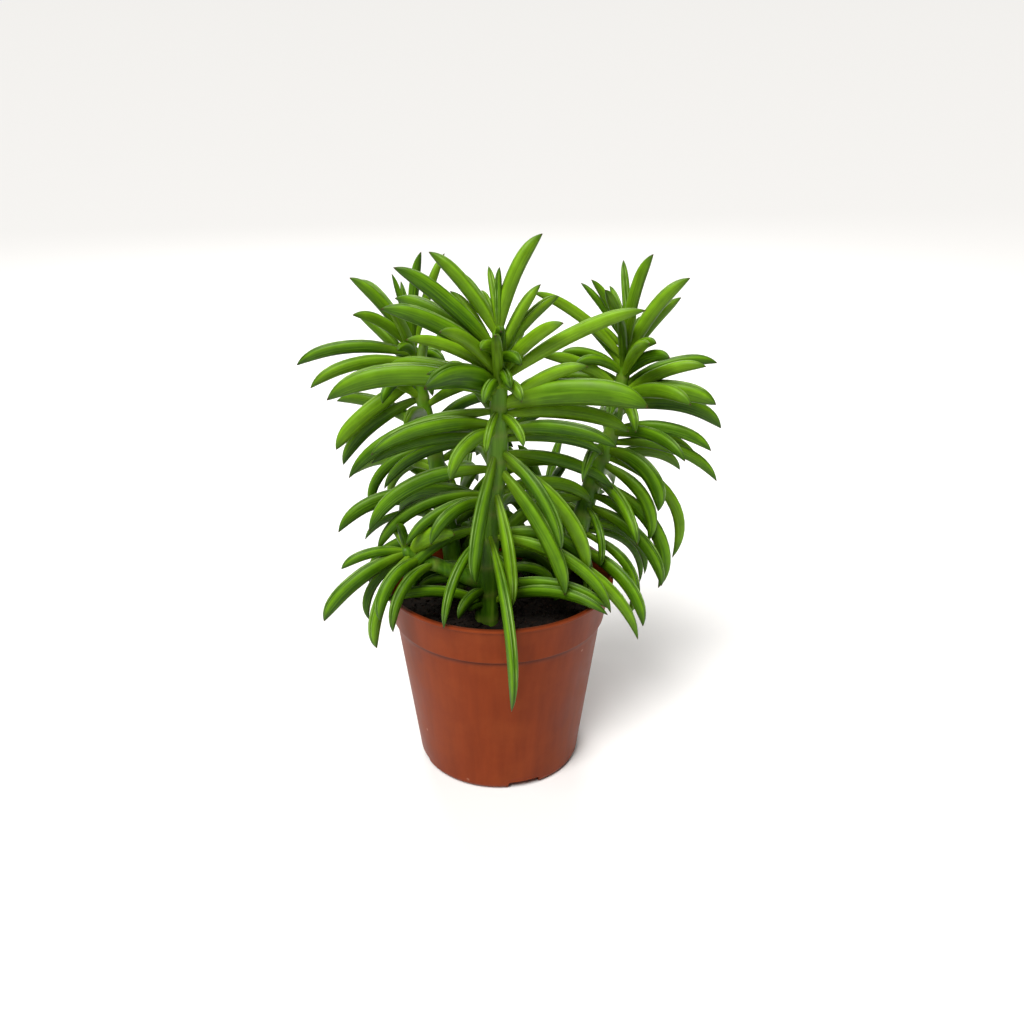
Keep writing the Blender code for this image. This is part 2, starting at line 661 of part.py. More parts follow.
def largest_shell(mesh):
    """Keeps the outer skin alone, so that a hollow sealed between leaves is filled."""
    solid = bmesh.new()
    solid.from_mesh(mesh)
    bmesh.ops.triangulate(solid, faces=solid.faces)
    bmesh.ops.remove_doubles(solid, verts=solid.verts, dist=FINE_WELD)
    bmesh.ops.dissolve_degenerate(solid, edges=solid.edges, dist=FINE_WELD)
    open_edges = [edge for edge in solid.edges if edge.is_boundary]
    bmesh.ops.holes_fill(solid, edges=open_edges, sides=0)
    bmesh.ops.triangulate(solid, faces=solid.faces)
    left = set(solid.faces)
    shells = []
    while left:
        shell = set()
        edge = [left.pop()]
        while edge:
            face = edge.pop()
            shell.add(face)
            near = {other for side in face.edges for other in side.link_faces} & left
            left -= near
            edge.extend(near)
        shells.append(shell)
    shells.sort(key=len, reverse=True)
    scraps = [face for shell in shells[1:] for face in shell]
    bmesh.ops.delete(solid, geom=scraps, context="FACES")
    solid.to_mesh(mesh)
    solid.free()


def make_leafy_stem(name, lines, leaves, collection, material):
    """A stem, its side shoot if it has one, and its leaves, fused into one solid."""
    stem = link(tube(name, *lines[0], STEM_SIDES), collection, material)
    sprays = new_collection(name + "_growth")
    for i, (points, radii) in enumerate(lines[1:]):
        link(tube(f"{name}_shoot_{i + 1}", points, radii, STEM_SIDES), sprays)
    for i, leaf in enumerate(leaves):
        link(bpy.data.objects.new(f"{name}_leaf_{i + 1}", leaf.mesh("leaf")), sprays)
    union = stem.modifiers.new("Leaves", "BOOLEAN")
    union.operation = "UNION"
    union.operand_type = "COLLECTION"
    union.collection = sprays
    union.solver = UNION_SOLVER
    graph = bpy.context.evaluated_depsgraph_get()
    fused = bpy.data.meshes.new_from_object(stem.evaluated_get(graph))
    stem.modifiers.clear()
    largest_shell(fused)
    stem.data = fused
    for item in list(sprays.objects):
        bpy.data.objects.remove(item, do_unlink=True)
    bpy.data.collections.remove(sprays)
    stem.data.shade_smooth()
    stem.data.set_sharp_from_angle(angle=math.radians(SHARP_ANGLE))
    return stem


def main():
    clear_scene()
    parts = new_collection("potted_peperomia")
    cutters = new_collection("cutters")
    cutters.hide_render = True
    terracotta = new_material("terracotta_plastic", TERRACOTTA, 0.45)
    earth = new_material("potting_soil", EARTH, 0.95)
    green = new_material("peperomia_green", LEAF_GREEN, 0.38)

    lines = {name: [stem_line(*stem)] for name, stem in STEMS.items()}
    lines["stem_front"].append(stem_line(*SIDE_SHOOT))
    axes = {name: stem_lines[0][0] for name, stem_lines in lines.items()}
    make_pot(parts, cutters, terracotta)
    make_soil(parts, cutters, earth, lines)

    room = Room(lines)
    draw = random.Random(SEED)
    place_listed(room, "stem_front", axes["stem_front"], FRONT_TOP + FRONT_LOW, draw)
    place_listed(room, "stem_front", lines["stem_front"][1][0], SHOOT_LEAVES, draw)
    place_listed(room, "stem_right", axes["stem_right"], RIGHT_TOP + RIGHT_LOW, draw)
    place_listed(room, "stem_left", axes["stem_left"], LEFT_LEAVES, draw)
    for band in RULE_BANDS:
        place_by_rule(room, axes[band[0]], band, draw)
    for name, stem_lines in lines.items():
        make_leafy_stem(name, stem_lines, room.leaves[name], parts, green)


if __name__ == "__main__":
    main()
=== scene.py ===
import math
import random

import bmesh
import bpy
import numpy as np
from mathutils import Matrix, Vector, noise


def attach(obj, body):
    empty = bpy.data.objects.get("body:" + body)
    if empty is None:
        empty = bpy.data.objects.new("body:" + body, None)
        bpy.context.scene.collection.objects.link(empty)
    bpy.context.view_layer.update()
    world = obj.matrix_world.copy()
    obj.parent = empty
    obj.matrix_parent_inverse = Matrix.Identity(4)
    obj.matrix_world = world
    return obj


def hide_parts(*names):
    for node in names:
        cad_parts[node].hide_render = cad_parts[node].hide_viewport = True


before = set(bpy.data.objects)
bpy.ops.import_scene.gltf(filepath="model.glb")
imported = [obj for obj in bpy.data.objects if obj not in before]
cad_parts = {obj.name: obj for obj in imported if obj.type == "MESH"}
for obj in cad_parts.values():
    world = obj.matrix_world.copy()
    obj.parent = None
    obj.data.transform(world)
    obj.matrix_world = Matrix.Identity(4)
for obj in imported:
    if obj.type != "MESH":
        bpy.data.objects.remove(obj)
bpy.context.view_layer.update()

MM = 0.001

# Camera: it looks down on the plant from in front, a little right of the pot's axis, from where the
# pot's outline falls as it does in the photograph.
CAMERA_DIP = 0.427
camera = bpy.data.objects.new("camera", bpy.data.cameras.new("camera"))
camera.location = (0.0062, -0.467, 0.3355)
camera.rotation_euler = (math.pi / 2 - CAMERA_DIP, 0.0, 0.0)
camera.data.lens = 40.57
camera.data.sensor_width = 36.0
bpy.context.scene.collection.objects.link(camera)
bpy.context.scene.camera = camera


# Pot: a nursery pot of thin polypropylene, injection moulded in one piece. Its wall steps out in a
# sloped shoulder to a wider collar with a small lip, and it stands on a foot ring that drain
# notches break. The floor is raised and has round drain holes between the notches.
POT_HEIGHT = 92.5
RIM_RADIUS = 52.2
LIP_HEIGHT = 1.6
LIP_DEPTH = 0.3
COLLAR_HEIGHT = 18.4
COLLAR_FOOT_RADIUS = 48.4
SHOULDER_HEIGHT = 3.6
BODY_TOP_RADIUS = 46.6
BASE_RADIUS = 37.2
BASE_ROUNDING = 3.4
WALL = 1.4
FLOOR_THICKNESS = 1.6
FOOT_RING_WIDTH = 6.0
FOOT_RECESS = 4.0
HUB_RADIUS = 9.0
EDGE_EASE = 0.5
LIP_EDGE = ((-0.5, 0.0), (-0.15, -0.15), (0.0, -0.5))
LIP_UNDERSIDE = ((0.0, 0.2), (-0.08, 0.0))
LIP_FILLET = 1.2
COLLAR_EDGE = ((0.04, 0.9), (0.02, 0.45), (-0.12, 0.2), (-0.85, 0.0), (-1.0, -0.35))
SHOULDER_FILLET = ((0.10, 0.6), (0.0, -0.2))
SHOULDER_FILLET_END = 1.5
MID_HEIGHT = 36.0
ROUNDING_STEPS = 8
FLOOR_CORNER = 1.8
INNER_SHOULDER_DROP = 0.6
POT_STEPS = 144
NOTCH_COUNT = 4
NOTCH_SIZE = (16.0, 15.0, 7.4)
NOTCH_CORNER = 1.2
NOTCH_CORNER_STEPS = 5
NOTCH_HEADING = -71.5
DRAIN_HOLE_RADIUS = 3.0
DRAIN_CIRCLE_RADIUS = 20.0
DRAIN_SIDES = 28
DRAIN_CUT = 8.0
SHARP_ANGLE = 38
TERRACOTTA = "#803410"
TERRACOTTA_DARK = "#6F2B0B"
TERRACOTTA_PALE = "#8C421D"
POT_DUST = "#C99A80"
# dark brown of the painted shade under the collar's step and on the top of the lip
POT_PAINTED_SHADE = "#3A150C"


def linear(code):
    """A linear colour from an sRGB hex value."""
    parts = [int(code[i:i + 2], 16) / 255 for i in (1, 3, 5)]
    return (*(c / 12.92 if c <= 0.04045 else ((c + 0.055) / 1.055) ** 2.4 for c in parts), 1.0)


def wire(material, node, inputs):
    """Sets a node's inputs, or links those that are given a socket."""
    for name, value in inputs.items():
        if isinstance(value, bpy.types.NodeSocket):
            material.node_tree.links.new(value, node.inputs[name])
        else:
            node.inputs[name].default_value = value
    return node


def add(material, kind, settings, inputs):
    """Adds one node with its settings and links. A ramp is a list of places and colours."""
    node = material.node_tree.nodes.new(kind)
    for name, value in settings.items():
        if name != "ramp":
            setattr(node, name, value)
            continue
        stops = node.color_ramp.elements
        for place, _ in value[2:]:
            stops.new(place)
        for stop, (place, colour) in zip(stops, value):
            stop.position = place
            stop.color = linear(colour)
    return wire(material, node, inputs)


def new_material(name):
    material = bpy.data.materials.new(name)
    material.use_nodes = True
    return material, material.node_tree.nodes["Principled BSDF"]


def as_object(shape, name, material=None):
    """Makes a smooth-shaded object of a bmesh."""
    mesh = bpy.data.meshes.new(name)
    shape.to_mesh(mesh)
    shape.free()
    made = bpy.data.objects.new(name, mesh)
    bpy.context.scene.collection.objects.link(made)
    if material:
        mesh.materials.append(material)
    mesh.shade_smooth()
    return made


def wall_radius(height, inside=False):
    """Outer or inner radius of the pot's wall at a height."""
    shoulder_top = POT_HEIGHT - COLLAR_HEIGHT
    heights = (0.0, shoulder_top - SHOULDER_HEIGHT, shoulder_top, POT_HEIGHT)
    radii = (BASE_RADIUS, BODY_TOP_RADIUS, COLLAR_FOOT_RADIUS, RIM_RADIUS - LIP_DEPTH)
    return float(np.interp(height, heights, radii)) - (WALL if inside else 0.0)


def eased(radius, height, offsets):
    """Profile points of a softened corner, each so far out from the corner and above it."""
    return [(radius + out, height + up) for out, up in offsets]


def turned(profile, steps):
    """A closed body turned about Z from a profile that starts and ends on the axis."""
    shape = bmesh.new()
    points = [shape.verts.new((radius * MM, 0, height * MM)) for radius, height in profile]
    edges = [shape.edges.new(pair) for pair in zip(points, points[1:])]
    bmesh.ops.spin(
        shape, geom=points + edges, axis=(0, 0, 1), cent=(0, 0, 0), dvec=(0, 0, 0),
        angle=math.tau, steps=steps, use_merge=True,
    )
    bmesh.ops.remove_doubles(shape, verts=shape.verts, dist=0.01 * MM)
    bmesh.ops.recalc_face_normals(shape, faces=shape.faces)
    return shape


def cut_away(target, cutters):
    """Cuts the cutters out of the target and removes them."""
    for cutter in cutters:
        cut = target.modifiers.new("Cut", "BOOLEAN")
        cut.operation = "DIFFERENCE"
        cut.object = cutter
    graph = bpy.context.evaluated_depsgraph_get()
    mesh = bpy.data.meshes.new_from_object(target.evaluated_get(graph))
    target.modifiers.clear()
    target.data = mesh
    for cutter in cutters:
        bpy.data.objects.remove(cutter, do_unlink=True)


shoulder_top = POT_HEIGHT - COLLAR_HEIGHT
shoulder_foot = shoulder_top - SHOULDER_HEIGHT
floor_top = FOOT_RECESS + FLOOR_THICKNESS
lip_foot = POT_HEIGHT - LIP_HEIGHT
ring_inside = BASE_RADIUS - BASE_ROUNDING - FOOT_RING_WIDTH / 2
corner_third = FLOOR_CORNER / 3
pot_profile = [
    (0.0, floor_top),
    (wall_radius(floor_top, True) - FLOOR_CORNER, floor_top),
    (wall_radius(floor_top + corner_third, True) - corner_third, floor_top + corner_third),
    (wall_radius(floor_top + FLOOR_CORNER, True), floor_top + FLOOR_CORNER),
    (wall_radius(shoulder_foot, True), shoulder_foot - INNER_SHOULDER_DROP),
    (wall_radius(shoulder_top, True), shoulder_top - INNER_SHOULDER_DROP),
    (RIM_RADIUS - LIP_DEPTH - WALL, POT_HEIGHT - EDGE_EASE),
    (RIM_RADIUS - LIP_DEPTH - WALL + 0.15, POT_HEIGHT - 0.12),
    (RIM_RADIUS - WALL + 0.1, POT_HEIGHT),
    *eased(RIM_RADIUS, POT_HEIGHT, LIP_EDGE),
    *eased(RIM_RADIUS, lip_foot, LIP_UNDERSIDE),
    (wall_radius(lip_foot - EDGE_EASE) + 0.04, lip_foot - 0.35),
    (wall_radius(lip_foot - LIP_FILLET), lip_foot - LIP_FILLET),
    *eased(COLLAR_FOOT_RADIUS, shoulder_top, COLLAR_EDGE),
    *eased(BODY_TOP_RADIUS, shoulder_foot, SHOULDER_FILLET),
    (wall_radius(shoulder_foot - SHOULDER_FILLET_END), shoulder_foot - SHOULDER_FILLET_END),
    (wall_radius(MID_HEIGHT), MID_HEIGHT),
]
for i in range(ROUNDING_STEPS + 1):
    turn = math.radians(90.0 * i / ROUNDING_STEPS)
    radius = wall_radius(BASE_ROUNDING) - BASE_ROUNDING * (1 - math.cos(turn))
    pot_profile.append((radius, BASE_ROUNDING * (1 - math.sin(turn))))
pot_profile += [
    (ring_inside + EDGE_EASE, 0.0),
    (ring_inside + 0.15, 0.15),
    (ring_inside, EDGE_EASE),
    (ring_inside, FOOT_RECESS),
    (HUB_RADIUS, FOOT_RECESS),
    (HUB_RADIUS, EDGE_EASE),
    (HUB_RADIUS - EDGE_EASE, 0.0),
    (0.0, 0.0),
]

pot_cutters = []
for i in range(NOTCH_COUNT):
    heading = math.radians(NOTCH_HEADING + i * 360.0 / NOTCH_COUNT)
    notch = bmesh.new()
    bmesh.ops.create_cube(notch, size=1.0)
    bmesh.ops.scale(notch, vec=Vector(NOTCH_SIZE) * MM, verts=notch.verts)
    upper = [edge for edge in notch.edges if all(vert.co.z > 0 for vert in edge.verts)]
    corners = [edge for edge in upper if edge.verts[0].co.y == edge.verts[1].co.y]
    bmesh.ops.bevel(
        notch, geom=corners, offset=NOTCH_CORNER * MM, segments=NOTCH_CORNER_STEPS, profile=0.5,
        affect="EDGES", material=-1,
    )
    place = Matrix.Rotation(heading, 4, "Z") @ Matrix.Translation((BASE_RADIUS * MM, 0, 0))
    bmesh.ops.transform(notch, matrix=place, verts=notch.verts)
    pot_cutters.append(as_object(notch, f"notch_cutter_{i}"))

    heading += math.pi / NOTCH_COUNT
    hole = bmesh.new()
    bmesh.ops.create_cone(
        hole, cap_ends=True, segments=DRAIN_SIDES,
        radius1=DRAIN_HOLE_RADIUS * MM, radius2=DRAIN_HOLE_RADIUS * MM, depth=DRAIN_CUT * MM,
    )
    centre = Vector((DRAIN_CIRCLE_RADIUS, 0, DRAIN_CUT / 2)) * MM
    place = Matrix.Rotation(heading, 4, "Z") @ Matrix.Translation(centre)
    bmesh.ops.transform(hole, matrix=place, verts=hole.verts)
    pot_cutters.append(as_object(hole, f"hole_cutter_{i}"))

# Moulded polypropylene: opaque, with a satin surface and a little haze. The colour is mixed
# unevenly in faint upright streaks, painted shade darkens the step under the collar and the top of
# the lip, and handling leaves small pale scuffs.
pot_material, pot_shader = new_material("moulded_polypropylene")
spot = add(pot_material, "ShaderNodeTexCoord", {}, {}).outputs["Object"]
streaks_at = add(pot_material, "ShaderNodeMapping", {}, {"Vector": spot, "Scale": (1.0, 1.0, 0.06)})
streaks = add(
    pot_material, "ShaderNodeTexNoise", {},
    {"Vector": streaks_at.outputs[0], "Scale": 1 / (7 * MM), "Detail": 3.0, "Roughness": 0.6},
)
streak_colour = add(
    pot_material, "ShaderNodeValToRGB",
    {"ramp": [(0.3, TERRACOTTA_DARK), (0.7, TERRACOTTA)]}, {"Fac": streaks.outputs["Fac"]},
)
haze = add(
    pot_material, "ShaderNodeTexNoise", {},
    {"Vector": spot, "Scale": 1 / (22 * MM), "Detail": 4.0, "Roughness": 0.65},
)
haze_share = add(
    pot_material, "ShaderNodeMapRange", {},
    {"Value": haze.outputs["Fac"], 1: 0.45, 2: 0.8, 3: 0.0, 4: 0.5},
)
hazed = add(
    pot_material, "ShaderNodeMix", {"data_type": "RGBA"},
    {"Factor": haze_share.outputs[0], 6: streak_colour.outputs[0], 7: linear(TERRACOTTA_PALE)},
)
height = add(pot_material, "ShaderNodeSeparateXYZ", {}, {"Vector": spot}).outputs["Z"]
# Painted shade: a dark band just under the collar's step, darkest at the step.
step_painted_shade = add(
    pot_material, "ShaderNodeMapRange", {},
    {"Value": height, 1: (shoulder_top - 2.4) * MM, 2: (shoulder_top - 0.1) * MM, 3: 0.0, 4: 0.85},
)
under_collar = add(
    pot_material, "ShaderNodeMath", {"operation": "LESS_THAN"},
    {0: height, 1: (shoulder_top + 0.15) * MM},
)
painted_shade_in_step = add(
    pot_material, "ShaderNodeMath", {"operation": "MULTIPLY"},
    {0: step_painted_shade.outputs[0], 1: under_collar.outputs[0]},
)
# Painted shade: the top of the lip is darkened with the same brown.
rim_shade = add(
    pot_material, "ShaderNodeMapRange", {},
    {"Value": height, 1: (POT_HEIGHT - EDGE_EASE) * MM, 2: POT_HEIGHT * MM, 3: 0.0, 4: 0.55},
)
painted_shade_share = add(
    pot_material, "ShaderNodeMath", {"operation": "ADD"},
    {0: painted_shade_in_step.outputs[0], 1: rim_shade.outputs[0]},
)
shade_painted = add(
    pot_material, "ShaderNodeMix", {"data_type": "RGBA"},
    {"Factor": painted_shade_share.outputs[0], 6: hazed.outputs[2], 7: linear(POT_PAINTED_SHADE)},
)
scuff_cells = add(
    pot_material, "ShaderNodeTexVoronoi", {"feature": "F1"},
    {"Vector": spot, "Scale": 1 / (13 * MM), "Randomness": 1.0},
)
scuff_edge = add(
    pot_material, "ShaderNodeTexNoise", {}, {"Vector": spot, "Scale": 1 / (1.2 * MM), "Detail": 4.0},
)
scuff_reach = add(
    pot_material, "ShaderNodeMath", {"operation": "MULTIPLY"},
    {0: scuff_cells.outputs["Distance"], 1: scuff_edge.outputs["Fac"]},
)
scuff_share = add(
    pot_material, "ShaderNodeMapRange", {},
    {"Value": scuff_reach.outputs[0], 1: 0.012, 2: 0.03, 3: 0.4, 4: 0.0},
)
scuffed = add(
    pot_material, "ShaderNodeMix", {"data_type": "RGBA"},
    {"Factor": scuff_share.outputs[0], 6: shade_painted.outputs[2], 7: linear(POT_DUST)},
)
pot_roughness = add(
    pot_material, "ShaderNodeMapRange", {},
    {"Value": haze.outputs["Fac"], 1: 0.3, 2: 0.7, 3: 0.38, 4: 0.52},
)
peel = add(pot_material, "ShaderNodeTexNoise", {}, {"Vector": spot, "Scale": 1 / (1.5 * MM), "Detail": 2.0})
pot_bump = add(
    pot_material, "ShaderNodeBump", {},
    {"Height": peel.outputs["Fac"], "Strength": 0.12, "Distance": 0.1 * MM},
)
wire(pot_material, pot_shader, {
    "Base Color": scuffed.outputs[2], "Roughness": pot_roughness.outputs[0],
    "Normal": pot_bump.outputs[0], "IOR": 1.49, "Specular IOR Level": 0.12,
})

pot = as_object(turned(pot_profile, POT_STEPS), "nursery_pot", pot_material)
cut_away(pot, pot_cutters)
pot.data.set_sharp_from_angle(angle=math.radians(SHARP_ANGLE))
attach(pot, "root")
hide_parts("pot")


# Soil: moist peat with bark, filled in by hand to a little under the collar's top. It is one turned
# body with an uneven top, on which loose crumbs of peat and chips of bark lie.
GAP = 0.3
SOIL_TOP = 77.0
SOIL_SWELL = 1.1
SOIL_WAVES = (7.0, 9.0, 5.0)
SOIL_PHASE = 1.1
SOIL_CROSS_SHARE = 0.6
SOIL_MARGIN = 0.5
SOIL_RINGS = 44
SOIL_STEPS = 112
LUMP_SIZE = 4.5
LUMP_DETAIL = (0.7, 2.2, 4)
LUMP_HEIGHT = 0.9
GRAIN_SIZE = 1.7
GRAIN_HEIGHT = 0.35
CRUMBS = 620
CRUMB_SIZES = (0.4, 1.15)
CRUMB_DEPTHS = (0.6, 1.1)
CRUMB_HEIGHTS = (0.5, 0.9)
CHIPS = 150
CHIP_LENGTHS = (1.2, 3.0)
CHIP_BREADTHS = (0.2, 0.5)
CHIP_THICKNESSES = (0.18, 0.45)
RAGGED = (0.72, 1.12)
TILTS = (-0.5, 0.5)
CRUMB_MARGIN = 1.5
CRUMB_SEED = 11
PEAT = "#150D08"
PEAT_DARK = "#080504"
BARK = "#3A2416"


def soil_height(x, y):
    """Height of the uneven soil at a place, in millimetres."""
    across, deep, slanting = SOIL_WAVES
    swell = math.sin(x / across + SOIL_PHASE) * math.cos(y / deep)
    return SOIL_TOP + SOIL_SWELL * (swell + SOIL_CROSS_SHARE * math.sin((x - y) / slanting))


soil_foot = floor_top + GAP
soil_rim = wall_radius(SOIL_TOP, True) - SOIL_MARGIN
soil_profile = [(soil_rim * i / SOIL_RINGS, SOIL_TOP) for i in range(SOIL_RINGS + 1)]
soil_profile += [
    (wall_radius(shoulder_top, True) - SOIL_MARGIN, shoulder_top - 1.2),
    (wall_radius(shoulder_foot, True) - SOIL_MARGIN, shoulder_foot - 1.2),
    (wall_radius(soil_foot + 2.2, True) - SOIL_MARGIN, soil_foot + 2.2),
    (wall_radius(soil_foot, True) - 3.0, soil_foot),
    (0.0, soil_foot),
]
soil_shape = turned(soil_profile, SOIL_STEPS)
for vert in soil_shape.verts:
    if vert.co.z > (SOIL_TOP - GAP) * MM:
        place = vert.co / MM
        rough = noise.fractal(place / LUMP_SIZE, *LUMP_DETAIL) * LUMP_HEIGHT
        rough += noise.noise(place / GRAIN_SIZE) * GRAIN_HEIGHT
        vert.co.z = (soil_height(place.x, place.y) + rough) * MM

draw = random.Random(CRUMB_SEED)
for i in range(CRUMBS + CHIPS):
    from_axis = (soil_rim - CRUMB_MARGIN) * math.sqrt(draw.random())
    heading = draw.uniform(0, math.tau)
    x, y = from_axis * math.cos(heading), from_axis * math.sin(heading)
    if i < CRUMBS:
        made = bmesh.ops.create_icosphere(soil_shape, subdivisions=1, radius=MM)["verts"]
        size = draw.uniform(*CRUMB_SIZES)
        stretch = Vector((size, size * draw.uniform(*CRUMB_DEPTHS), size * draw.uniform(*CRUMB_HEIGHTS)))
    else:
        made = bmesh.ops.create_cube(soil_shape, size=2 * MM)["verts"]
        long = draw.uniform(*CHIP_LENGTHS)
        stretch = Vector((long, long * draw.uniform(*CHIP_BREADTHS), draw.uniform(*CHIP_THICKNESSES)))
    for vert in made:
        vert.co = vert.co * draw.uniform(*RAGGED)
    facing = Matrix.Rotation(draw.uniform(0, math.tau), 4, "Z")
    turn = facing @ Matrix.Rotation(draw.uniform(*TILTS), 4, "X")
    place = Matrix.Translation(Vector((x, y, soil_height(x, y) + 0.5 * stretch.z)) * MM)
    bmesh.ops.scale(soil_shape, vec=stretch, verts=made)
    bmesh.ops.transform(soil_shape, matrix=place @ turn, verts=made)

# Moist potting mix: matt and almost black, with brown bark and fibres in it.
soil_material, soil_shader = new_material("moist_potting_mix")
spot = add(soil_material, "ShaderNodeTexCoord", {}, {}).outputs["Object"]
grains = add(
    soil_material, "ShaderNodeTexNoise", {},
    {"Vector": spot, "Scale": 1 / (2.4 * MM), "Detail": 8.0, "Roughness": 0.7},
)
soil_colour = add(
    soil_material, "ShaderNodeValToRGB",
    {"ramp": [(0.35, PEAT_DARK), (0.55, PEAT), (0.72, BARK)]}, {"Fac": grains.outputs["Fac"]},
)
soil_bump = add(
    soil_material, "ShaderNodeBump", {},
    {"Height": grains.outputs["Fac"], "Strength": 0.8, "Distance": 0.6 * MM},
)
wire(soil_material, soil_shader, {
    "Base Color": soil_colour.outputs[0], "Roughness": 0.9, "Normal": soil_bump.outputs[0],
    "Specular IOR Level": 0.2,
})

soil = as_object(soil_shape, "potting_mix", soil_material)
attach(soil, "root")
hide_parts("soil")


# Stems: thick, smooth, juicy green stems that stand in the soil, with a slight swelling and a pale
# ring at each old leaf's foot. The front one has a side shoot near the soil. Five grow in the pot.
STEM_STEP = 14.0
STEM_TAPER = 2.1
BLUNT_TIP = 0.55
STEM_SIDES = 24
STEM_RING = 1.3
SCARS_APART = 13.0
SHOOT_SCARS_APART = 9.0
SCAR_BREADTH = 1.4
SCAR_HEIGHT = 0.22
UNEVEN_OVER = 9
UNEVEN_AROUND = 0.4
UNEVEN_SHARE = 0.035
SLIMMEST = 0.985
UPRIGHT_RISE = 40
STEMS = {
    "stem_front": (
        [(-5, -15, 54), (-5, -15, 82), (-4, -15, 122), (0, -18, 155), (1, -24, 185), (1, -28, 214)],
        5.4, 2.6,
    ),
    "stem_left": (
        [(-20, 10, 54), (-20, 10, 84), (-24, 13, 115), (-28, 15, 142), (-33, 18, 168), (-37, 20, 193)],
        4.6, 2.4,
    ),
    "stem_right": (
        [(26, 10, 54), (27, 10, 80), (35, 11, 103), (44, 15, 136), (51, 17, 156), (57, 20, 195)],
        4.8, 2.4,
    ),
    "stem_back_left": ([(-14, 30, 54), (-14, 30, 78), (-17, 37, 98), (-20, 42, 116)], 3.8, 2.2),
    "stem_back_right": ([(14, 32, 54), (14, 32, 78), (19, 40, 98), (24, 46, 114)], 3.8, 2.2),
}
SIDE_SHOOT = ([(-5, -15, 95), (-20, -20, 104), (-32, -23, 111), (-41, -25, 117)], 3.6, 2.2)
STEM_GREEN = "#3F6A08"
# lighter green of the painted light on the upper stem
STEM_PAINTED_LIGHT = "#608D0C"
STEM_DARK = "#2F5606"
STEM_PALE = "#5F891C"
SCAR = "#6F7D34"


def through_points(points, step):
    """Points about a step apart on the smooth curve that passes through the given ones."""
    route = [Vector(point) for point in points]
    route = [2 * route[0] - route[1], *route, 2 * route[-1] - route[-2]]
    found = [route[1]]
    for a, b, c, d in zip(route, route[1:], route[2:], route[3:]):
        pieces = max(1, round((c - b).length / step))
        for i in range(1, pieces + 1):
            t = i / pieces
            bend = (c - a) * t + (2 * a - 5 * b + 4 * c - d) * t**2 + (3 * b - a - 3 * c + d) * t**3
            found.append(b + bend / 2)
    return found


def stem_line(route, foot_radius, tip_radius, step=STEM_STEP):
    """Points and radii along a stem, which narrows most near its tip."""
    points = through_points(route, step)
    steps = [0.0] + [(b - a).length for a, b in zip(points, points[1:])]
    gone = np.cumsum(steps) / sum(steps)
    radii = foot_radius + (tip_radius - foot_radius) * gone**STEM_TAPER
    radii[-1] *= BLUNT_TIP
    return points, radii


def drawn_out(section, shares):
    """A straight body whose section, in the XZ plane, is drawn out along Y in rings.

    Each vertex keeps its share of the length and its share of the way round, from the section's first
    point to the one opposite.
    """
    shape = bmesh.new()
    share_layer = shape.verts.layers.float.new("share")
    around_layer = shape.verts.layers.float.new("around")
    shape.verts.layers.float.new("tint")
    ring = bmesh.ops.create_circle(shape, cap_ends=True, segments=len(section), radius=1.0)["verts"]
    opposite = len(section) / 2
    for i, (vert, (x, z)) in enumerate(zip(ring, section)):
        vert.co = (x, shares[0], z)
        vert[around_layer] = 1 - abs(i - opposite) / opposite
    edges = list(shape.edges)
    for last, share in zip(shares, shares[1:]):
        grown = bmesh.ops.extrude_edge_only(shape, edges=edges)["geom"]
        ring = [item for item in grown if isinstance(item, bmesh.types.BMVert)]
        edges = [item for item in grown if isinstance(item, bmesh.types.BMEdge)]
        bmesh.ops.translate(shape, vec=(0, share - last, 0), verts=ring)
        for vert in ring:
            vert[share_layer] = share
    bmesh.ops.contextual_create(shape, geom=edges)
    bmesh.ops.recalc_face_normals(shape, faces=shape.faces)
    return shape


stem_section = [
    (math.sin(math.tau * i / STEM_SIDES), math.cos(math.tau * i / STEM_SIDES)) for i in range(STEM_SIDES)
]


def grow_stem(route, foot_radius, tip_radius, scars_apart):
    """A stem as a bent and tapered copy of the straight body, with a swelling at each old leaf."""
    points, radii = stem_line(route, foot_radius, tip_radius, STEM_RING)
    shape = drawn_out(stem_section, [i / (len(points) - 1) for i in range(len(points))])
    tint = shape.verts.layers.float["tint"]
    upright = abs(points[-1].z - points[0].z) > UPRIGHT_RISE
    reference = Vector((1, 0, 0)) if upright else Vector((0, 0, 1))
    for vert in shape.verts:
        i = round(vert.co.y * (len(points) - 1))
        along = (points[min(i + 1, len(points) - 1)] - points[max(i - 1, 0)]).normalized()
        side = (reference - along * reference.dot(along)).normalized()
        up = side.cross(along)
        gone = i * STEM_RING / scars_apart
        near = abs(gone - round(gone)) * scars_apart
        swelling = math.exp(-((near / SCAR_BREADTH) ** 2))
        wander = noise.noise(points[i] / UNEVEN_OVER + Vector((vert.co.x, 0, vert.co.z)) * UNEVEN_AROUND)
        radius = radii[i] * (SLIMMEST + UNEVEN_SHARE * wander) + SCAR_HEIGHT * swelling
        if i == len(points) - 1:
            radius = radii[i]
        vert[tint] = swelling
        vert.co = (points[i] + (side * vert.co.x + up * vert.co.z) * radius) * MM
    return shape


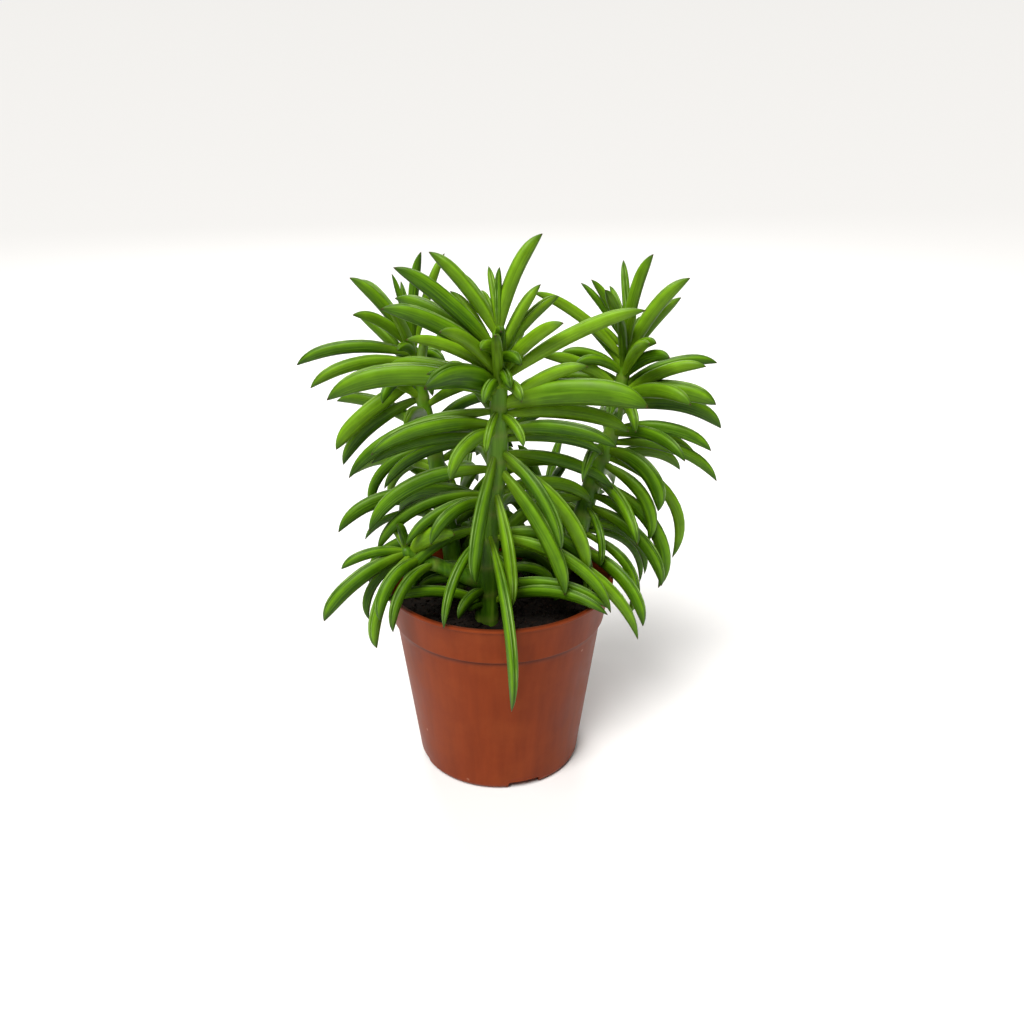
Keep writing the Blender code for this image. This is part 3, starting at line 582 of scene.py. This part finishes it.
# Smooth stem skin: fresh green flesh under a thin waxy skin, paler in upright flecks and at the
# rings, with a soft gloss. Higher up it is painted lighter, which is painted light: the lower stem is left
# darker as it lies in shade.
stem_material, stem_shader = new_material("waxy_stem_skin")
spot = add(stem_material, "ShaderNodeTexCoord", {}, {}).outputs["Object"]
flecks_at = add(stem_material, "ShaderNodeMapping", {}, {"Vector": spot, "Scale": (1.0, 1.0, 0.05)})
flecks = add(
    stem_material, "ShaderNodeTexNoise", {},
    {"Vector": flecks_at.outputs[0], "Scale": 1 / (1.8 * MM), "Detail": 3.0, "Roughness": 0.5},
)
stem_colour = add(
    stem_material, "ShaderNodeValToRGB",
    {"ramp": [(0.32, STEM_DARK), (0.5, STEM_GREEN), (0.72, STEM_PALE)]}, {"Fac": flecks.outputs["Fac"]},
)
rings = add(stem_material, "ShaderNodeAttribute", {"attribute_name": "tint"}, {})
ring_break = add(
    stem_material, "ShaderNodeTexNoise", {}, {"Vector": spot, "Scale": 1 / (2.2 * MM), "Detail": 2.0},
)
ring_share = add(
    stem_material, "ShaderNodeMath", {"operation": "MULTIPLY"},
    {0: rings.outputs["Fac"], 1: ring_break.outputs["Fac"]},
)
height = add(stem_material, "ShaderNodeSeparateXYZ", {}, {"Vector": spot}).outputs["Z"]
# Painted light: the stem is mixed towards a lighter green from 105 mm up to 150 mm.
painted_light_share = add(
    stem_material, "ShaderNodeMapRange", {}, {"Value": height, 1: 105 * MM, 2: 150 * MM, 3: 0.0, 4: 0.5},
)
painted_lit = add(
    stem_material, "ShaderNodeMix", {"data_type": "RGBA"},
    {"Factor": painted_light_share.outputs[0], 6: stem_colour.outputs[0], 7: linear(STEM_PAINTED_LIGHT)},
)
ring_colour = add(
    stem_material, "ShaderNodeMix", {"data_type": "RGBA"},
    {"Factor": ring_share.outputs[0], 6: painted_lit.outputs[2], 7: linear(SCAR)},
)
stem_bump = add(
    stem_material, "ShaderNodeBump", {},
    {"Height": flecks.outputs["Fac"], "Strength": 0.25, "Distance": 0.2 * MM},
)
wire(stem_material, stem_shader, {
    "Base Color": ring_colour.outputs[2], "Roughness": 0.45, "Normal": stem_bump.outputs[0],
    "Specular IOR Level": 0.25,
    "Subsurface Weight": 0.12, "Subsurface Radius": (0.4, 0.7, 0.1), "Subsurface Scale": 1.5 * MM,
})

for name, (route, foot_radius, tip_radius) in STEMS.items():
    shape = grow_stem(route, foot_radius, tip_radius, SCARS_APART)
    if name == "stem_front":
        shoot_mesh = bpy.data.meshes.new("shoot")
        shoot = grow_stem(*SIDE_SHOOT, SHOOT_SCARS_APART)
        shoot.to_mesh(shoot_mesh)
        shoot.free()
        shape.from_mesh(shoot_mesh)
        bpy.data.meshes.remove(shoot_mesh)
    stem = as_object(shape, name.replace("stem_", "") + "_stem", stem_material)
    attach(stem, "root")
    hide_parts(name)


# Leaves: thick pods, each a blade that grew folded upwards, so a groove runs along its top between
# two pale margins. Each grows straight from its stem. Old low ones hang, and young ones near the tip
# rise. The tender ones at the front stem's tip have no solid of their own in the CAD model.

# Each listed leaf, in millimetres: the foot's height on its stem, the reach to the right, to the
# front and up, the depth, and the rise of the arch.
FRONT_TOP = [
    (209, 17, -5, 41, 5.2, 3), (201, 24, -15, 22, 4.6, 2), (193, 25, 12, 26, 5.0, 2),
    (191, 57, 5, 31, 5.4, 3), (180, 59, 15, 5, 9.8, 4), (176, 53, 5, -5, 6.0, 4),
    (168, 48, 14, -1, 5.8, 4), (158, 50, -12, -21, 5.0, 4), (176, 10, 14, -8, 3.8, 3),
    (183, -1, 28, 35, 5.0, 3), (178, -5, 16, -12, 3.6, 3), (202, -40, 5, 37, 6.0, 2),
    (209, -27, -5, 34, 5.0, 2), (210, -17, -15, 23, 3.4, 2), (211, -8, -14, 16, 3.4, 1),
    (211, -4, -12, 25, 3.0, 1), (212, 1, -3, 26, 2.6, 0), (197, -45, 10, 27, 6.6, 3),
    (199, -42, -15, 23, 6.0, 3), (193, -34, 15, 23, 4.3, 3), (192, -22, 25, 27, 5.0, 3),
    (186, -28, 30, 12, 9.0, 4), (185, -69, 5, 0, 8.5, 8), (178, -62, 6, -27, 5.6, 7),
    (171, -53, 12, -5, 6.0, 5), (166, -53, 2, -11, 4.5, 4), (164, -50, -15, -28, 4.5, 7),
    (168, -19, 22, -12, 5.5, 6), (187, 0, 8, 20, 4.5, 1), (164, 44, -6, -8, 4.6, 4),
    (188, -46, -12, 6, 5.5, 3),
]
FRONT_LOW = [
    (118, 63, 15, -48, 5.2, 12), (160, -9, 18, -54, 6.2, 4), (142, 7, 16, -50, 6.0, 6),
    (120, 10, 47, -61, 5.2, 18), (152, 29, 18, -52, 6.4, 4), (160, 26, 22, -36, 6.0, 6),
    (156, 38, 8, -52, 6.0, 8), (118, 54, 16, -27, 5.0, 10), (90, 42, 5, -1, 3.8, 4),
    (92, 53, 18, 0, 4.4, 7), (84, 52, 25, 9, 5.0, 8), (150, -53, 14, -22, 6.0, 9),
    (138, -49, 10, -22, 5.0, 9), (137, -36, 16, -15, 4.3, 5), (135, -25, 22, -10, 5.0, 6),
    (118, -18, 35, -26, 4.7, 10), (108, 11, 14, -4, 4.0, 3), (90, -31, 3, 3, 4.8, 6),
    (85, -43, 20, 12, 4.6, 4), (90, -12, 20, -2, 4.5, 4), (84, -12, 9, 3, 3.0, 1),
    (84, -8, 13, 4, 2.6, 1), (98, 30, -4, -6, 4.2, 6),
]
SHOOT_LEAVES = [
    (115, -36, 14, -26, 6.4, 4), (115, -29, 4, -4, 4.2, 3), (114, 19, 8, 13, 7.0, 2),
    (116, -2, 4, 15, 3.5, 1), (116, -6, -5, 10, 3.0, 1), (114, -20, 2, -31, 3.8, 6),
    (114, -15, 18, -36, 5.6, 7), (111, -18, 16, -23, 5.5, 8), (108, -17, 24, -20, 5.0, 9),
]
LEFT_LEAVES = [
    (189, -51, 5, -3, 5.3, 5), (185, -45, 12, -7, 5.3, 5), (190, -24, 15, 21, 4.4, 3),
    (190, -26, 3, 34, 5.0, 2), (190, -24, -15, 29, 5.0, 2), (192, -8, 0, 33, 2.4, 0),
    (192, -5, -8, 28, 2.4, 0), (191, 5, 3, 44, 4.0, 1), (190, 14, -8, 42, 3.6, 1),
    (178, -37, 10, -29, 6.8, 2), (170, -37, 0, -32, 5.6, 4), (148, -28, 5, -29, 4.4, 8),
    (141, -23, -12, -24, 3.6, 6), (118, -42, 0, -5, 3.6, 6), (116, -39, -10, -18, 3.2, 6),
    (186, 14, 14, 4, 4.2, 3), (182, 8, 22, -4, 4.4, 3), (188, -6, 16, 8, 3.6, 2),
    (180, -14, 20, -6, 4.6, 4),
]
RIGHT_TOP = [
    (191, 9, 3, 43, 4.8, 2), (193, -1, -6, 37, 4.0, 1), (193, -8, -12, 24, 3.0, 1),
    (192, -21, -5, 28, 2.8, 1), (192, -17, 2, 31, 3.5, 1), (190, -23, -3, 16, 2.8, 2),
    (186, -41, 8, 33, 4.4, 3), (184, 26, 3, 40, 5.6, 3), (186, 20, -15, 19, 3.5, 2),
    (182, 11, 22, 19, 4.4, 3), (178, 18, 20, 18, 5.0, 3), (174, 42, 0, 12, 4.8, 4),
    (171, 41, 12, 0, 7.8, 3), (169, 30, 22, 6, 6.0, 4), (165, 48, -5, -11, 6.5, 6),
    (167, 6, 22, -5, 5.0, 5), (175, -47, -8, -5, 4.4, 5), (177, -35, -18, -4, 3.6, 5),
    (180, -22, 12, 9, 4.0, 3), (181, -28, 0, 9, 4.0, 3), (180, -4, 18, 30, 4.4, 3),
    (187, 1, 15, 24, 3.8, 2), (172, -42, 2, -4, 5.0, 4),
]
RIGHT_LOW = [
    (155, 43, 12, -5, 5.2, 5), (153, 41, -5, -17, 5.0, 6), (149, 50, 3, -17, 4.8, 7),
    (146, 23, 18, -22, 7.0, 8), (143, 34, 2, -50, 4.8, 14), (140, 22, 14, -32, 5.2, 9),
    (132, 30, 12, -50, 6.0, 12), (125, 21, 18, -17, 4.4, 7), (112, 31, -3, -28, 3.5, 9),
    (108, 31, -12, -33, 3.2, 10), (112, 17, -8, -3, 2.8, 2), (120, 6, 18, -22, 3.6, 9),
    (108, 23, 12, -38, 4.4, 13),
]
TENDER_LEAVES = [
    (206, 1, 12, 10, 4.2, 1), (201, -7, 13, 8, 4.4, 2), (200, 8, 12, 7, 4.2, 2), (194, 1, 15, 3, 5.0, 2),
    (190, -9, 15, 1, 4.4, 3), (189, 9, 15, -1, 4.4, 3),
]
# Each band that the rule fills: its stem, its lowest and highest foot, the step between feet, how far
# from straight back its leaves may point, and the rise of its lowest and highest leaf, in degrees.
RULE_BANDS = [
    ("stem_front", 94, 150, 4.0, 130, -40, -5),
    ("stem_front", 150, 206, 4.4, 120, -5, 58),
    ("stem_right", 96, 150, 4.0, 180, -40, -5),
    ("stem_right", 150, 192, 3.2, 180, -5, 58),
    ("stem_left", 96, 146, 4.0, 180, -40, -5),
    ("stem_left", 146, 190, 3.2, 180, -5, 58),
    ("stem_back_left", 86, 115, 2.6, 180, -5, 58),
    ("stem_back_right", 86, 113, 2.6, 180, -5, 58),
]
GOLDEN_ANGLE = 137.5
RULE_LENGTH = 46.0
RULE_DEPTH = 5.4
RULE_ARCH = 5.5
RULE_SIZES = (0.88, 1.1)
TENDER_SHORTER = 0.3
TWIST = 22.0
SEED = 8
DEPTH_SEEN = 0.88
BREADTH_LEAST = 1.2
BREADTH_SHARE = 0.55
STALK_SHARE = 0.36
FULLEST = 0.42
TIP_FULLNESS = 4.4
TIP_LEAN = 0.5
BEND_SHARE = 0.6
CLEAR_OTHER_STEM = 0.5
CLEAR_SAME_STEM = -0.8
CLEAR_POT = 0.6
ROOT_BEADS = 8
TURN_STEP = 4.0
TURN_COST = 0.05
FRONT_TURNS = 5
RULE_TURNS = 10
STEEPEST = 88.0
SAMPLES = 24
BEAD_STEP = 0.2
GROOVE_BREADTH = 0.17
GROOVE_TOP = 0.3
GROOVE_OPENING = 0.14
GROOVE_CLOSING = 0.12
HALF_SECTION = [
    (0.0, 0.345), (0.06, 0.375), (0.11, 0.44), (0.17, 0.47), (0.27, 0.455), (0.36, 0.40), (0.44, 0.30),
    (0.485, 0.15), (0.50, -0.02), (0.47, -0.20), (0.38, -0.35), (0.22, -0.455), (0.0, -0.50),
]
LEAF_SHARES = (
    0.0, 0.03, 0.07, 0.12, 0.18, 0.24, 0.31, 0.38, 0.45, 0.52, 0.59, 0.66, 0.72, 0.78, 0.83, 0.875,
    0.915, 0.945, 0.968, 0.984, 0.994,
)


class Leaf:
    """A folded blade along an arch from its foot on the stem's axis to its tip."""

    def __init__(self, foot, reach, depth, arch, twist):
        self.foot = foot
        self.tip = foot + reach
        self.depth = depth / DEPTH_SEEN
        self.twist = twist
        along = reach.normalized()
        lift = Vector((0, 0, 1)) - along * along.z
        lift = lift.normalized() if lift.length > 0.01 else Vector((0, 1, 0))
        self.side = along.cross(lift)
        self.bend = foot + reach * BEND_SHARE + 2 * arch * lift

    def centre(self, share):
        """The middle of the blade, which lies above the arch so that the point ends near the keel."""
        rest = 1 - share
        on_arch = self.foot * rest**2 + self.bend * 2 * share * rest + self.tip * share**2
        return on_arch + self.frame(share)[1] * self.shape(share)[1] / 2 * TIP_LEAN

    def frame(self, share):
        """Side and upward directions of the blade at a share of its length."""
        along = ((self.bend - self.foot) * (1 - share) + (self.tip - self.bend) * share).normalized()
        turn = Matrix.Rotation(math.radians(self.twist) * share, 3, along)
        return turn @ self.side, turn @ self.side.cross(along)

    def shape(self, share):
        """Breadth and depth of the blade at a share of its length."""
        if share < FULLEST:
            swell = STALK_SHARE + (1 - STALK_SHARE) * math.sin(math.pi / 2 * share / FULLEST)
        else:
            swell = 1 - ((share - FULLEST) / (1 - FULLEST)) ** TIP_FULLNESS
        return (BREADTH_LEAST + BREADTH_SHARE * self.depth) * swell, self.depth * swell

    def beads(self):
        """Balls along the blade that stand for it where room is sought."""
        shares = [(i + 0.5) / SAMPLES for i in range(SAMPLES)]
        centres = np.array([self.centre(share) for share in shares])
        return centres, np.array([self.shape(share)[1] / 2 for share in shares])


def joined(first, second):
    """Two sets of balls as one."""
    return np.vstack([first[0], second[0]]), np.concatenate([first[1], second[1]])


def gap(beads, others):
    """The least room between two sets of balls, which is negative where they cross."""
    if not len(others[0]):
        return math.inf
    apart = np.linalg.norm(beads[0][:, None] - others[0][None], axis=2)
    return float((apart - beads[1][:, None] - others[1][None]).min())


def stem_beads(points, radii):
    """Balls close together along a stem that stand for it where room is sought."""
    places = np.arange(0, len(points) - 1, BEAD_STEP)
    line = np.array(points)
    centres = [np.interp(places, range(len(points)), line[:, i]) for i in range(3)]
    return np.stack(centres, axis=1), np.interp(places, range(len(points)), radii)


def spot_at(points, height):
    """The place on a stem's axis at a height."""
    heights = [point.z for point in points]
    return Vector([float(np.interp(height, heights, [point[i] for point in points])) for i in range(3)])


class Room:
    """What has been placed, so that a new leaf can be turned aside until it is clear."""

    def __init__(self, lines):
        self.leaves = {name: [] for name in lines}
        self.whole = {}
        self.outer = {}
        for name, stem_lines in lines.items():
            self.whole[name] = stem_beads(*stem_lines[0])
            for line in stem_lines[1:]:
                self.whole[name] = joined(self.whole[name], stem_beads(*line))
            self.outer[name] = (np.empty((0, 3)), np.empty(0))

    def gap_to_others(self, stem, beads):
        return min(gap(beads, whole) for name, whole in self.whole.items() if name != stem)

    def gap_to_pot(self, beads):
        least = math.inf
        for (x, y, z), radius in zip(*beads):
            from_axis = math.hypot(x, y)
            inner = wall_radius(min(z, POT_HEIGHT), True)
            outer = wall_radius(min(z, POT_HEIGHT)) + LIP_DEPTH
            beside = max(inner - from_axis, from_axis - outer)
            wall = beside
            if z > POT_HEIGHT:
                wall = math.hypot(z - POT_HEIGHT, max(0.0, beside))
            ground = z - SOIL_TOP - 2 * SOIL_SWELL if from_axis < RIM_RADIUS else math.inf
            least = min(least, wall - radius, ground - radius)
        return least

    def place(self, stem, leaf_at, turns):
        """Keeps the first turn of a leaf that is clear of all, or the best that is clear of other stems.

        Where each turn meets the pot, the soil or another stem, the leaf is left out.
        """
        best, best_worth = None, -math.inf
        for turn, lift in aside(turns):
            leaf = leaf_at(turn, lift)
            beads = leaf.beads()
            if self.gap_to_pot(beads) < CLEAR_POT or self.gap_to_others(stem, beads) < CLEAR_OTHER_STEM:
                continue
            outer = (beads[0][ROOT_BEADS:], beads[1][ROOT_BEADS:])
            same = min(0.0, gap(outer, self.outer[stem]) - CLEAR_SAME_STEM)
            worth = same - math.hypot(turn, lift) * TURN_COST
            if worth > best_worth:
                best, best_worth = (leaf, beads, outer), worth
            if same == 0.0:
                break
        if best:
            leaf, beads, outer = best
            self.leaves[stem].append(leaf)
            self.whole[stem] = joined(self.whole[stem], beads)
            self.outer[stem] = joined(self.outer[stem], outer)


def aside(count):
    """Turns about the upright and changes of rise, in degrees, from none to the widest."""
    yield 0.0, 0.0
    for ring in range(1, count + 1):
        for eighth in range(8):
            angle = math.radians(45 * eighth)
            yield ring * TURN_STEP * math.cos(angle), ring * TURN_STEP * math.sin(angle)


def turned_reach(reach, turn, lift):
    """A leaf's reach turned about the upright and raised, in degrees."""
    flat = math.hypot(reach.x, reach.y)
    heading = math.atan2(reach.y, reach.x) + math.radians(turn)
    rise = min(math.atan2(reach.z, flat) + math.radians(lift), math.radians(STEEPEST))
    flat = reach.length * math.cos(rise)
    return Vector((flat * math.cos(heading), flat * math.sin(heading), reach.length * math.sin(rise)))


def turnable(foot, reach, depth, arch, twist):
    """A leaf as a function of the turn and lift that room is sought with."""
    return lambda turn, lift: Leaf(foot, turned_reach(reach, turn, lift), depth, arch, twist)


def place_listed(room, stem, points, rows, draw):
    """Leaves from a list, each with a small drawn twist."""
    for height, right, front, up, depth, arch in rows:
        twist = draw.uniform(-TWIST, TWIST)
        reach = Vector((right, -front, up))
        room.place(stem, turnable(spot_at(points, height), reach, depth, arch, twist), FRONT_TURNS)


def place_by_rule(room, points, band, draw):
    """Leaves in a spiral up the stem: low ones hang, high ones rise and are shorter."""
    stem, low, high, step, widest, lowest_rise, highest_rise = band
    for i in range(int((high - low) / step)):
        heading = (i * GOLDEN_ANGLE + 180) % 360 - 180
        size = draw.uniform(*RULE_SIZES)
        twist = draw.uniform(-TWIST, TWIST)
        if abs(heading) > widest:
            continue
        height = low + i * step
        share = i * step / (high - low)
        rise = math.radians(lowest_rise + (highest_rise - lowest_rise) * share)
        flat = Vector((math.sin(math.radians(heading)), math.cos(math.radians(heading)), 0))
        size *= 1 - TENDER_SHORTER * max(0.0, math.sin(rise))
        reach = (flat * math.cos(rise) + Vector((0, 0, math.sin(rise)))) * RULE_LENGTH * size
        arch = RULE_ARCH * (1 - math.sin(rise))
        leaf_at = turnable(spot_at(points, height), reach, RULE_DEPTH * size, arch, twist)
        room.place(stem, leaf_at, RULE_TURNS)


lines = {name: [stem_line(*stem)] for name, stem in STEMS.items()}
lines["stem_front"].append(stem_line(*SIDE_SHOOT))
axes = {name: stem_lines[0][0] for name, stem_lines in lines.items()}
room = Room(lines)
draw = random.Random(SEED)
place_listed(room, "stem_front", axes["stem_front"], FRONT_TOP + FRONT_LOW, draw)
place_listed(room, "stem_front", lines["stem_front"][1][0], SHOOT_LEAVES, draw)
place_listed(room, "stem_right", axes["stem_right"], RIGHT_TOP + RIGHT_LOW, draw)
place_listed(room, "stem_left", axes["stem_left"], LEFT_LEAVES, draw)
for band in RULE_BANDS:
    place_by_rule(room, axes[band[0]], band, draw)
place_listed(room, "stem_front", axes["stem_front"], TENDER_LEAVES, draw)

section = HALF_SECTION + [(-x, z) for x, z in HALF_SECTION[-2:0:-1]]
leaf_shape = drawn_out(section, LEAF_SHARES)
ridge = max(z for _, z in section)
for vert in leaf_shape.verts:
    open_share = min(1.0, vert.co.y / GROOVE_OPENING) * min(1.0, (1.0 - vert.co.y) / GROOVE_CLOSING)
    if vert.co.z > GROOVE_TOP and abs(vert.co.x) < GROOVE_BREADTH:
        vert.co.z = ridge - (ridge - vert.co.z) * open_share
leaf_model = bpy.data.meshes.new("leaf_model")
leaf_shape.to_mesh(leaf_model)
leaf_shape.free()

# Waxy leaf skin over thick clear flesh: semi-gloss and mid green, with fine lines along the blade. Two
# thin pale lines run beside the groove and come and go. The shoulders of the blade are painted lighter,
# which is a painted highlight, and the lower side and keel are painted darker, which is painted shade. The
# foot is lime and the very point is dry and brown. Light passes a little way in.
# The darkest green is painted shade on the keel, the shady one is the groove's green and painted shade on
# the lower side, and the light one is the fibres' colour and the painted highlight on the shoulders.
LEAF_KEEL_SHADE = "#0F2801"
LEAF_GROOVE_AND_SHADE = "#2C5000"
LEAF_GREEN = "#365E00"
LEAF_FIBRE_AND_HIGHLIGHT = "#618F0E"
LEAF_LINE = "#93B463"
LEAF_LIME = "#75981A"
LEAF_TIP = "#26450A"
DRY_POINT = "#3B2E12"
leaf_material, leaf_shader = new_material("waxy_leaf_skin")
spot = add(leaf_material, "ShaderNodeTexCoord", {}, {}).outputs["Object"]
around = add(leaf_material, "ShaderNodeAttribute", {"attribute_name": "around"}, {}).outputs["Fac"]
share = add(leaf_material, "ShaderNodeAttribute", {"attribute_name": "share"}, {}).outputs["Fac"]
tint = add(leaf_material, "ShaderNodeAttribute", {"attribute_name": "tint"}, {}).outputs["Fac"]
own_place = add(leaf_material, "ShaderNodeCombineXYZ", {}, {"X": around, "Y": share, "Z": tint}).outputs[0]
fibres_at = add(leaf_material, "ShaderNodeMapping", {}, {"Vector": own_place, "Scale": (26.0, 2.4, 90.0)})
fibres = add(
    leaf_material, "ShaderNodeTexNoise", {},
    {"Vector": fibres_at.outputs[0], "Scale": 1.0, "Detail": 3.0, "Roughness": 0.6},
)
# Painted light and shade across the blade: a painted highlight on the shoulders, painted shade on the lower
# side, darkest on the keel, and a slightly darker green in the groove.
across = add(leaf_material, "ShaderNodeValToRGB", {"ramp": [
    (0.0, LEAF_GROOVE_AND_SHADE), (0.14, LEAF_GREEN), (0.30, LEAF_GREEN), (0.42, LEAF_FIBRE_AND_HIGHLIGHT), (0.60, LEAF_GREEN),
    (0.78, LEAF_GROOVE_AND_SHADE), (1.0, LEAF_KEEL_SHADE),
]}, {"Fac": around})
fibre_share = add(
    leaf_material, "ShaderNodeMapRange", {},
    {"Value": fibres.outputs["Fac"], 1: 0.44, 2: 0.66, 3: 0.0, 4: 0.6},
)
fibred = add(
    leaf_material, "ShaderNodeMix", {"data_type": "RGBA"},
    {"Factor": fibre_share.outputs[0], 6: across.outputs[0], 7: linear(LEAF_FIBRE_AND_HIGHLIGHT)},
)
line = add(leaf_material, "ShaderNodeValToRGB", {"ramp": [
    (0.12, "#000000"), (0.19, "#FFFFFF"), (0.24, "#FFFFFF"), (0.31, "#000000"),
]}, {"Fac": around})
breaks_at = add(leaf_material, "ShaderNodeMapping", {}, {"Vector": own_place, "Scale": (2.0, 7.0, 60.0)})
breaks = add(
    leaf_material, "ShaderNodeTexNoise", {}, {"Vector": breaks_at.outputs[0], "Scale": 1.0, "Detail": 2.0},
)
line_left = add(
    leaf_material, "ShaderNodeMapRange", {},
    {"Value": breaks.outputs["Fac"], 1: 0.38, 2: 0.62, 3: 0.1, 4: 0.7},
)
line_share = add(
    leaf_material, "ShaderNodeMath", {"operation": "MULTIPLY"},
    {0: line.outputs[0], 1: line_left.outputs[0]},
)
lined = add(
    leaf_material, "ShaderNodeMix", {"data_type": "RGBA"},
    {"Factor": line_share.outputs[0], 6: fibred.outputs[2], 7: linear(LEAF_LINE)},
)
mottle = add(
    leaf_material, "ShaderNodeTexNoise", {},
    {"Vector": spot, "Scale": 1 / (6 * MM), "Detail": 3.0, "Roughness": 0.5},
)
young_share = add(
    leaf_material, "ShaderNodeMapRange", {}, {"Value": tint, 1: 0.5, 2: 1.2, 3: 0.0, 4: 0.4},
)
young = add(
    leaf_material, "ShaderNodeMix", {"data_type": "RGBA"},
    {"Factor": young_share.outputs[0], 6: lined.outputs[2], 7: linear(LEAF_LIME)},
)
foot_share = add(
    leaf_material, "ShaderNodeMapRange", {}, {"Value": share, 1: 0.05, 2: 0.3, 3: 0.5, 4: 0.0},
)
footed = add(
    leaf_material, "ShaderNodeMix", {"data_type": "RGBA"},
    {"Factor": foot_share.outputs[0], 6: young.outputs[2], 7: linear(LEAF_LIME)},
)
tip_share = add(
    leaf_material, "ShaderNodeMapRange", {}, {"Value": share, 1: 0.84, 2: 0.97, 3: 0.0, 4: 0.7},
)
tipped = add(
    leaf_material, "ShaderNodeMix", {"data_type": "RGBA"},
    {"Factor": tip_share.outputs[0], 6: footed.outputs[2], 7: linear(LEAF_TIP)},
)
point_share = add(
    leaf_material, "ShaderNodeMapRange", {}, {"Value": share, 1: 0.965, 2: 0.985, 3: 0.0, 4: 0.9},
)
pointed = add(
    leaf_material, "ShaderNodeMix", {"data_type": "RGBA"},
    {"Factor": point_share.outputs[0], 6: tipped.outputs[2], 7: linear(DRY_POINT)},
)
leaf_value = add(
    leaf_material, "ShaderNodeMapRange", {}, {"Value": tint, 1: 0.0, 2: 1.3, 3: 0.8, 4: 1.3},
)
patch_value = add(
    leaf_material, "ShaderNodeMapRange", {},
    {"Value": mottle.outputs["Fac"], 1: 0.3, 2: 0.7, 3: 0.88, 4: 1.12},
)
whole_value = add(
    leaf_material, "ShaderNodeMath", {"operation": "MULTIPLY"},
    {0: leaf_value.outputs[0], 1: patch_value.outputs[0]},
)
leaf_colour = add(
    leaf_material, "ShaderNodeHueSaturation", {},
    {"Value": whole_value.outputs[0], "Color": pointed.outputs[2]},
)
leaf_bump = add(
    leaf_material, "ShaderNodeBump", {},
    {"Height": fibres.outputs["Fac"], "Strength": 0.35, "Distance": 0.15 * MM},
)
leaf_roughness = add(
    leaf_material, "ShaderNodeMapRange", {},
    {"Value": mottle.outputs["Fac"], 1: 0.3, 2: 0.7, 3: 0.36, 4: 0.48},
)
wire(leaf_material, leaf_shader, {
    "Base Color": leaf_colour.outputs[0], "Roughness": leaf_roughness.outputs[0],
    "Normal": leaf_bump.outputs[0], "IOR": 1.45, "Specular IOR Level": 0.2,
    "Subsurface Weight": 0.12, "Subsurface Radius": (0.4, 0.8, 0.1), "Subsurface Scale": 1.5 * MM,
})

RISING = 12.0
OLD_LEAVES_TOP = 112.0
YOUNG_LIGHTER = 0.4
OLD_DARKER = 0.5
SHADE_SEED = 5
shades = random.Random(SHADE_SEED)
for name, leaves in room.leaves.items():
    growth = bmesh.new()
    for leaf in leaves:
        start = len(growth.verts)
        growth.from_mesh(leaf_model)
        growth.verts.ensure_lookup_table()
        tint_layer = growth.verts.layers.float["tint"]
        shade = shades.uniform(0.0, 1.0)
        if leaf.tip.z > leaf.foot.z + RISING:
            shade += YOUNG_LIGHTER
        elif leaf.foot.z < OLD_LEAVES_TOP:
            shade *= OLD_DARKER
        stations = {}
        for vert in growth.verts[start:]:
            share = vert.co.y
            if share not in stations:
                stations[share] = (leaf.centre(share), *leaf.frame(share), *leaf.shape(share))
            centre, side, up, breadth, depth = stations[share]
            vert.co = (centre + side * vert.co.x * breadth + up * vert.co.z * depth) * MM
            vert[tint_layer] = shade
    foliage = as_object(growth, name.replace("stem_", "") + "_leaves", leaf_material)
    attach(foliage, "root")
    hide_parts(name)
bpy.data.meshes.remove(leaf_model)


# Studio: a plain white floor and soft, slightly warm light from above, strongest from the front and
# a little from the left. A panel behind gives the tops of the leaves their pale sheen, and the far
# wall looks pale but gives little light.
FLOOR_WHITE = "#ECEFF4"
WARM_WHITE = "#FFFAF2"
WALL_FILL = 0.1
WALL_SEEN = 0.95
FLOOR_REACH = 60.0
LIT_SPOT = Vector((0, 0, 0.12))
LIGHTS = (
    ("key_light", "SUN", {"energy": 4.0, "angle": math.radians(30)}, (-0.3, -0.65, 1.1)),
    ("panel_light", "AREA", {"energy": 1.5, "size": 0.7}, (0.1, -0.15, 0.9)),
    ("sheen_light", "AREA", {"energy": 6.0, "size": 0.6}, (-0.1, 0.75, 0.75)),
)
ground = bmesh.new()
bmesh.ops.create_grid(ground, x_segments=1, y_segments=1, size=FLOOR_REACH)
floor_material, floor_shader = new_material("white_studio_floor")
wire(floor_material, floor_shader, {"Base Color": linear(FLOOR_WHITE), "Roughness": 0.9})
floor = as_object(ground, "studio_floor", floor_material)

world = bpy.data.worlds.new("studio")
world.use_nodes = True
seen = add(world, "ShaderNodeLightPath", {}, {}).outputs["Is Camera Ray"]
wall_brightness = add(world, "ShaderNodeMapRange", {}, {"Value": seen, 3: WALL_FILL, 4: WALL_SEEN})
wire(world, world.node_tree.nodes["Background"], {
    "Color": linear(WARM_WHITE), "Strength": wall_brightness.outputs[0],
})
bpy.context.scene.world = world
bpy.context.scene.view_settings.view_transform = "Standard"

for name, kind, settings, place in LIGHTS:
    light = bpy.data.lights.new(name, kind)
    light.color = linear(WARM_WHITE)[:3]
    for setting, value in settings.items():
        setattr(light, setting, value)
    lamp = bpy.data.objects.new(name, light)
    lamp.location = place
    lamp.rotation_euler = (LIT_SPOT - Vector(place)).to_track_quat("-Z", "Y").to_euler()
    bpy.context.scene.collection.objects.link(lamp)
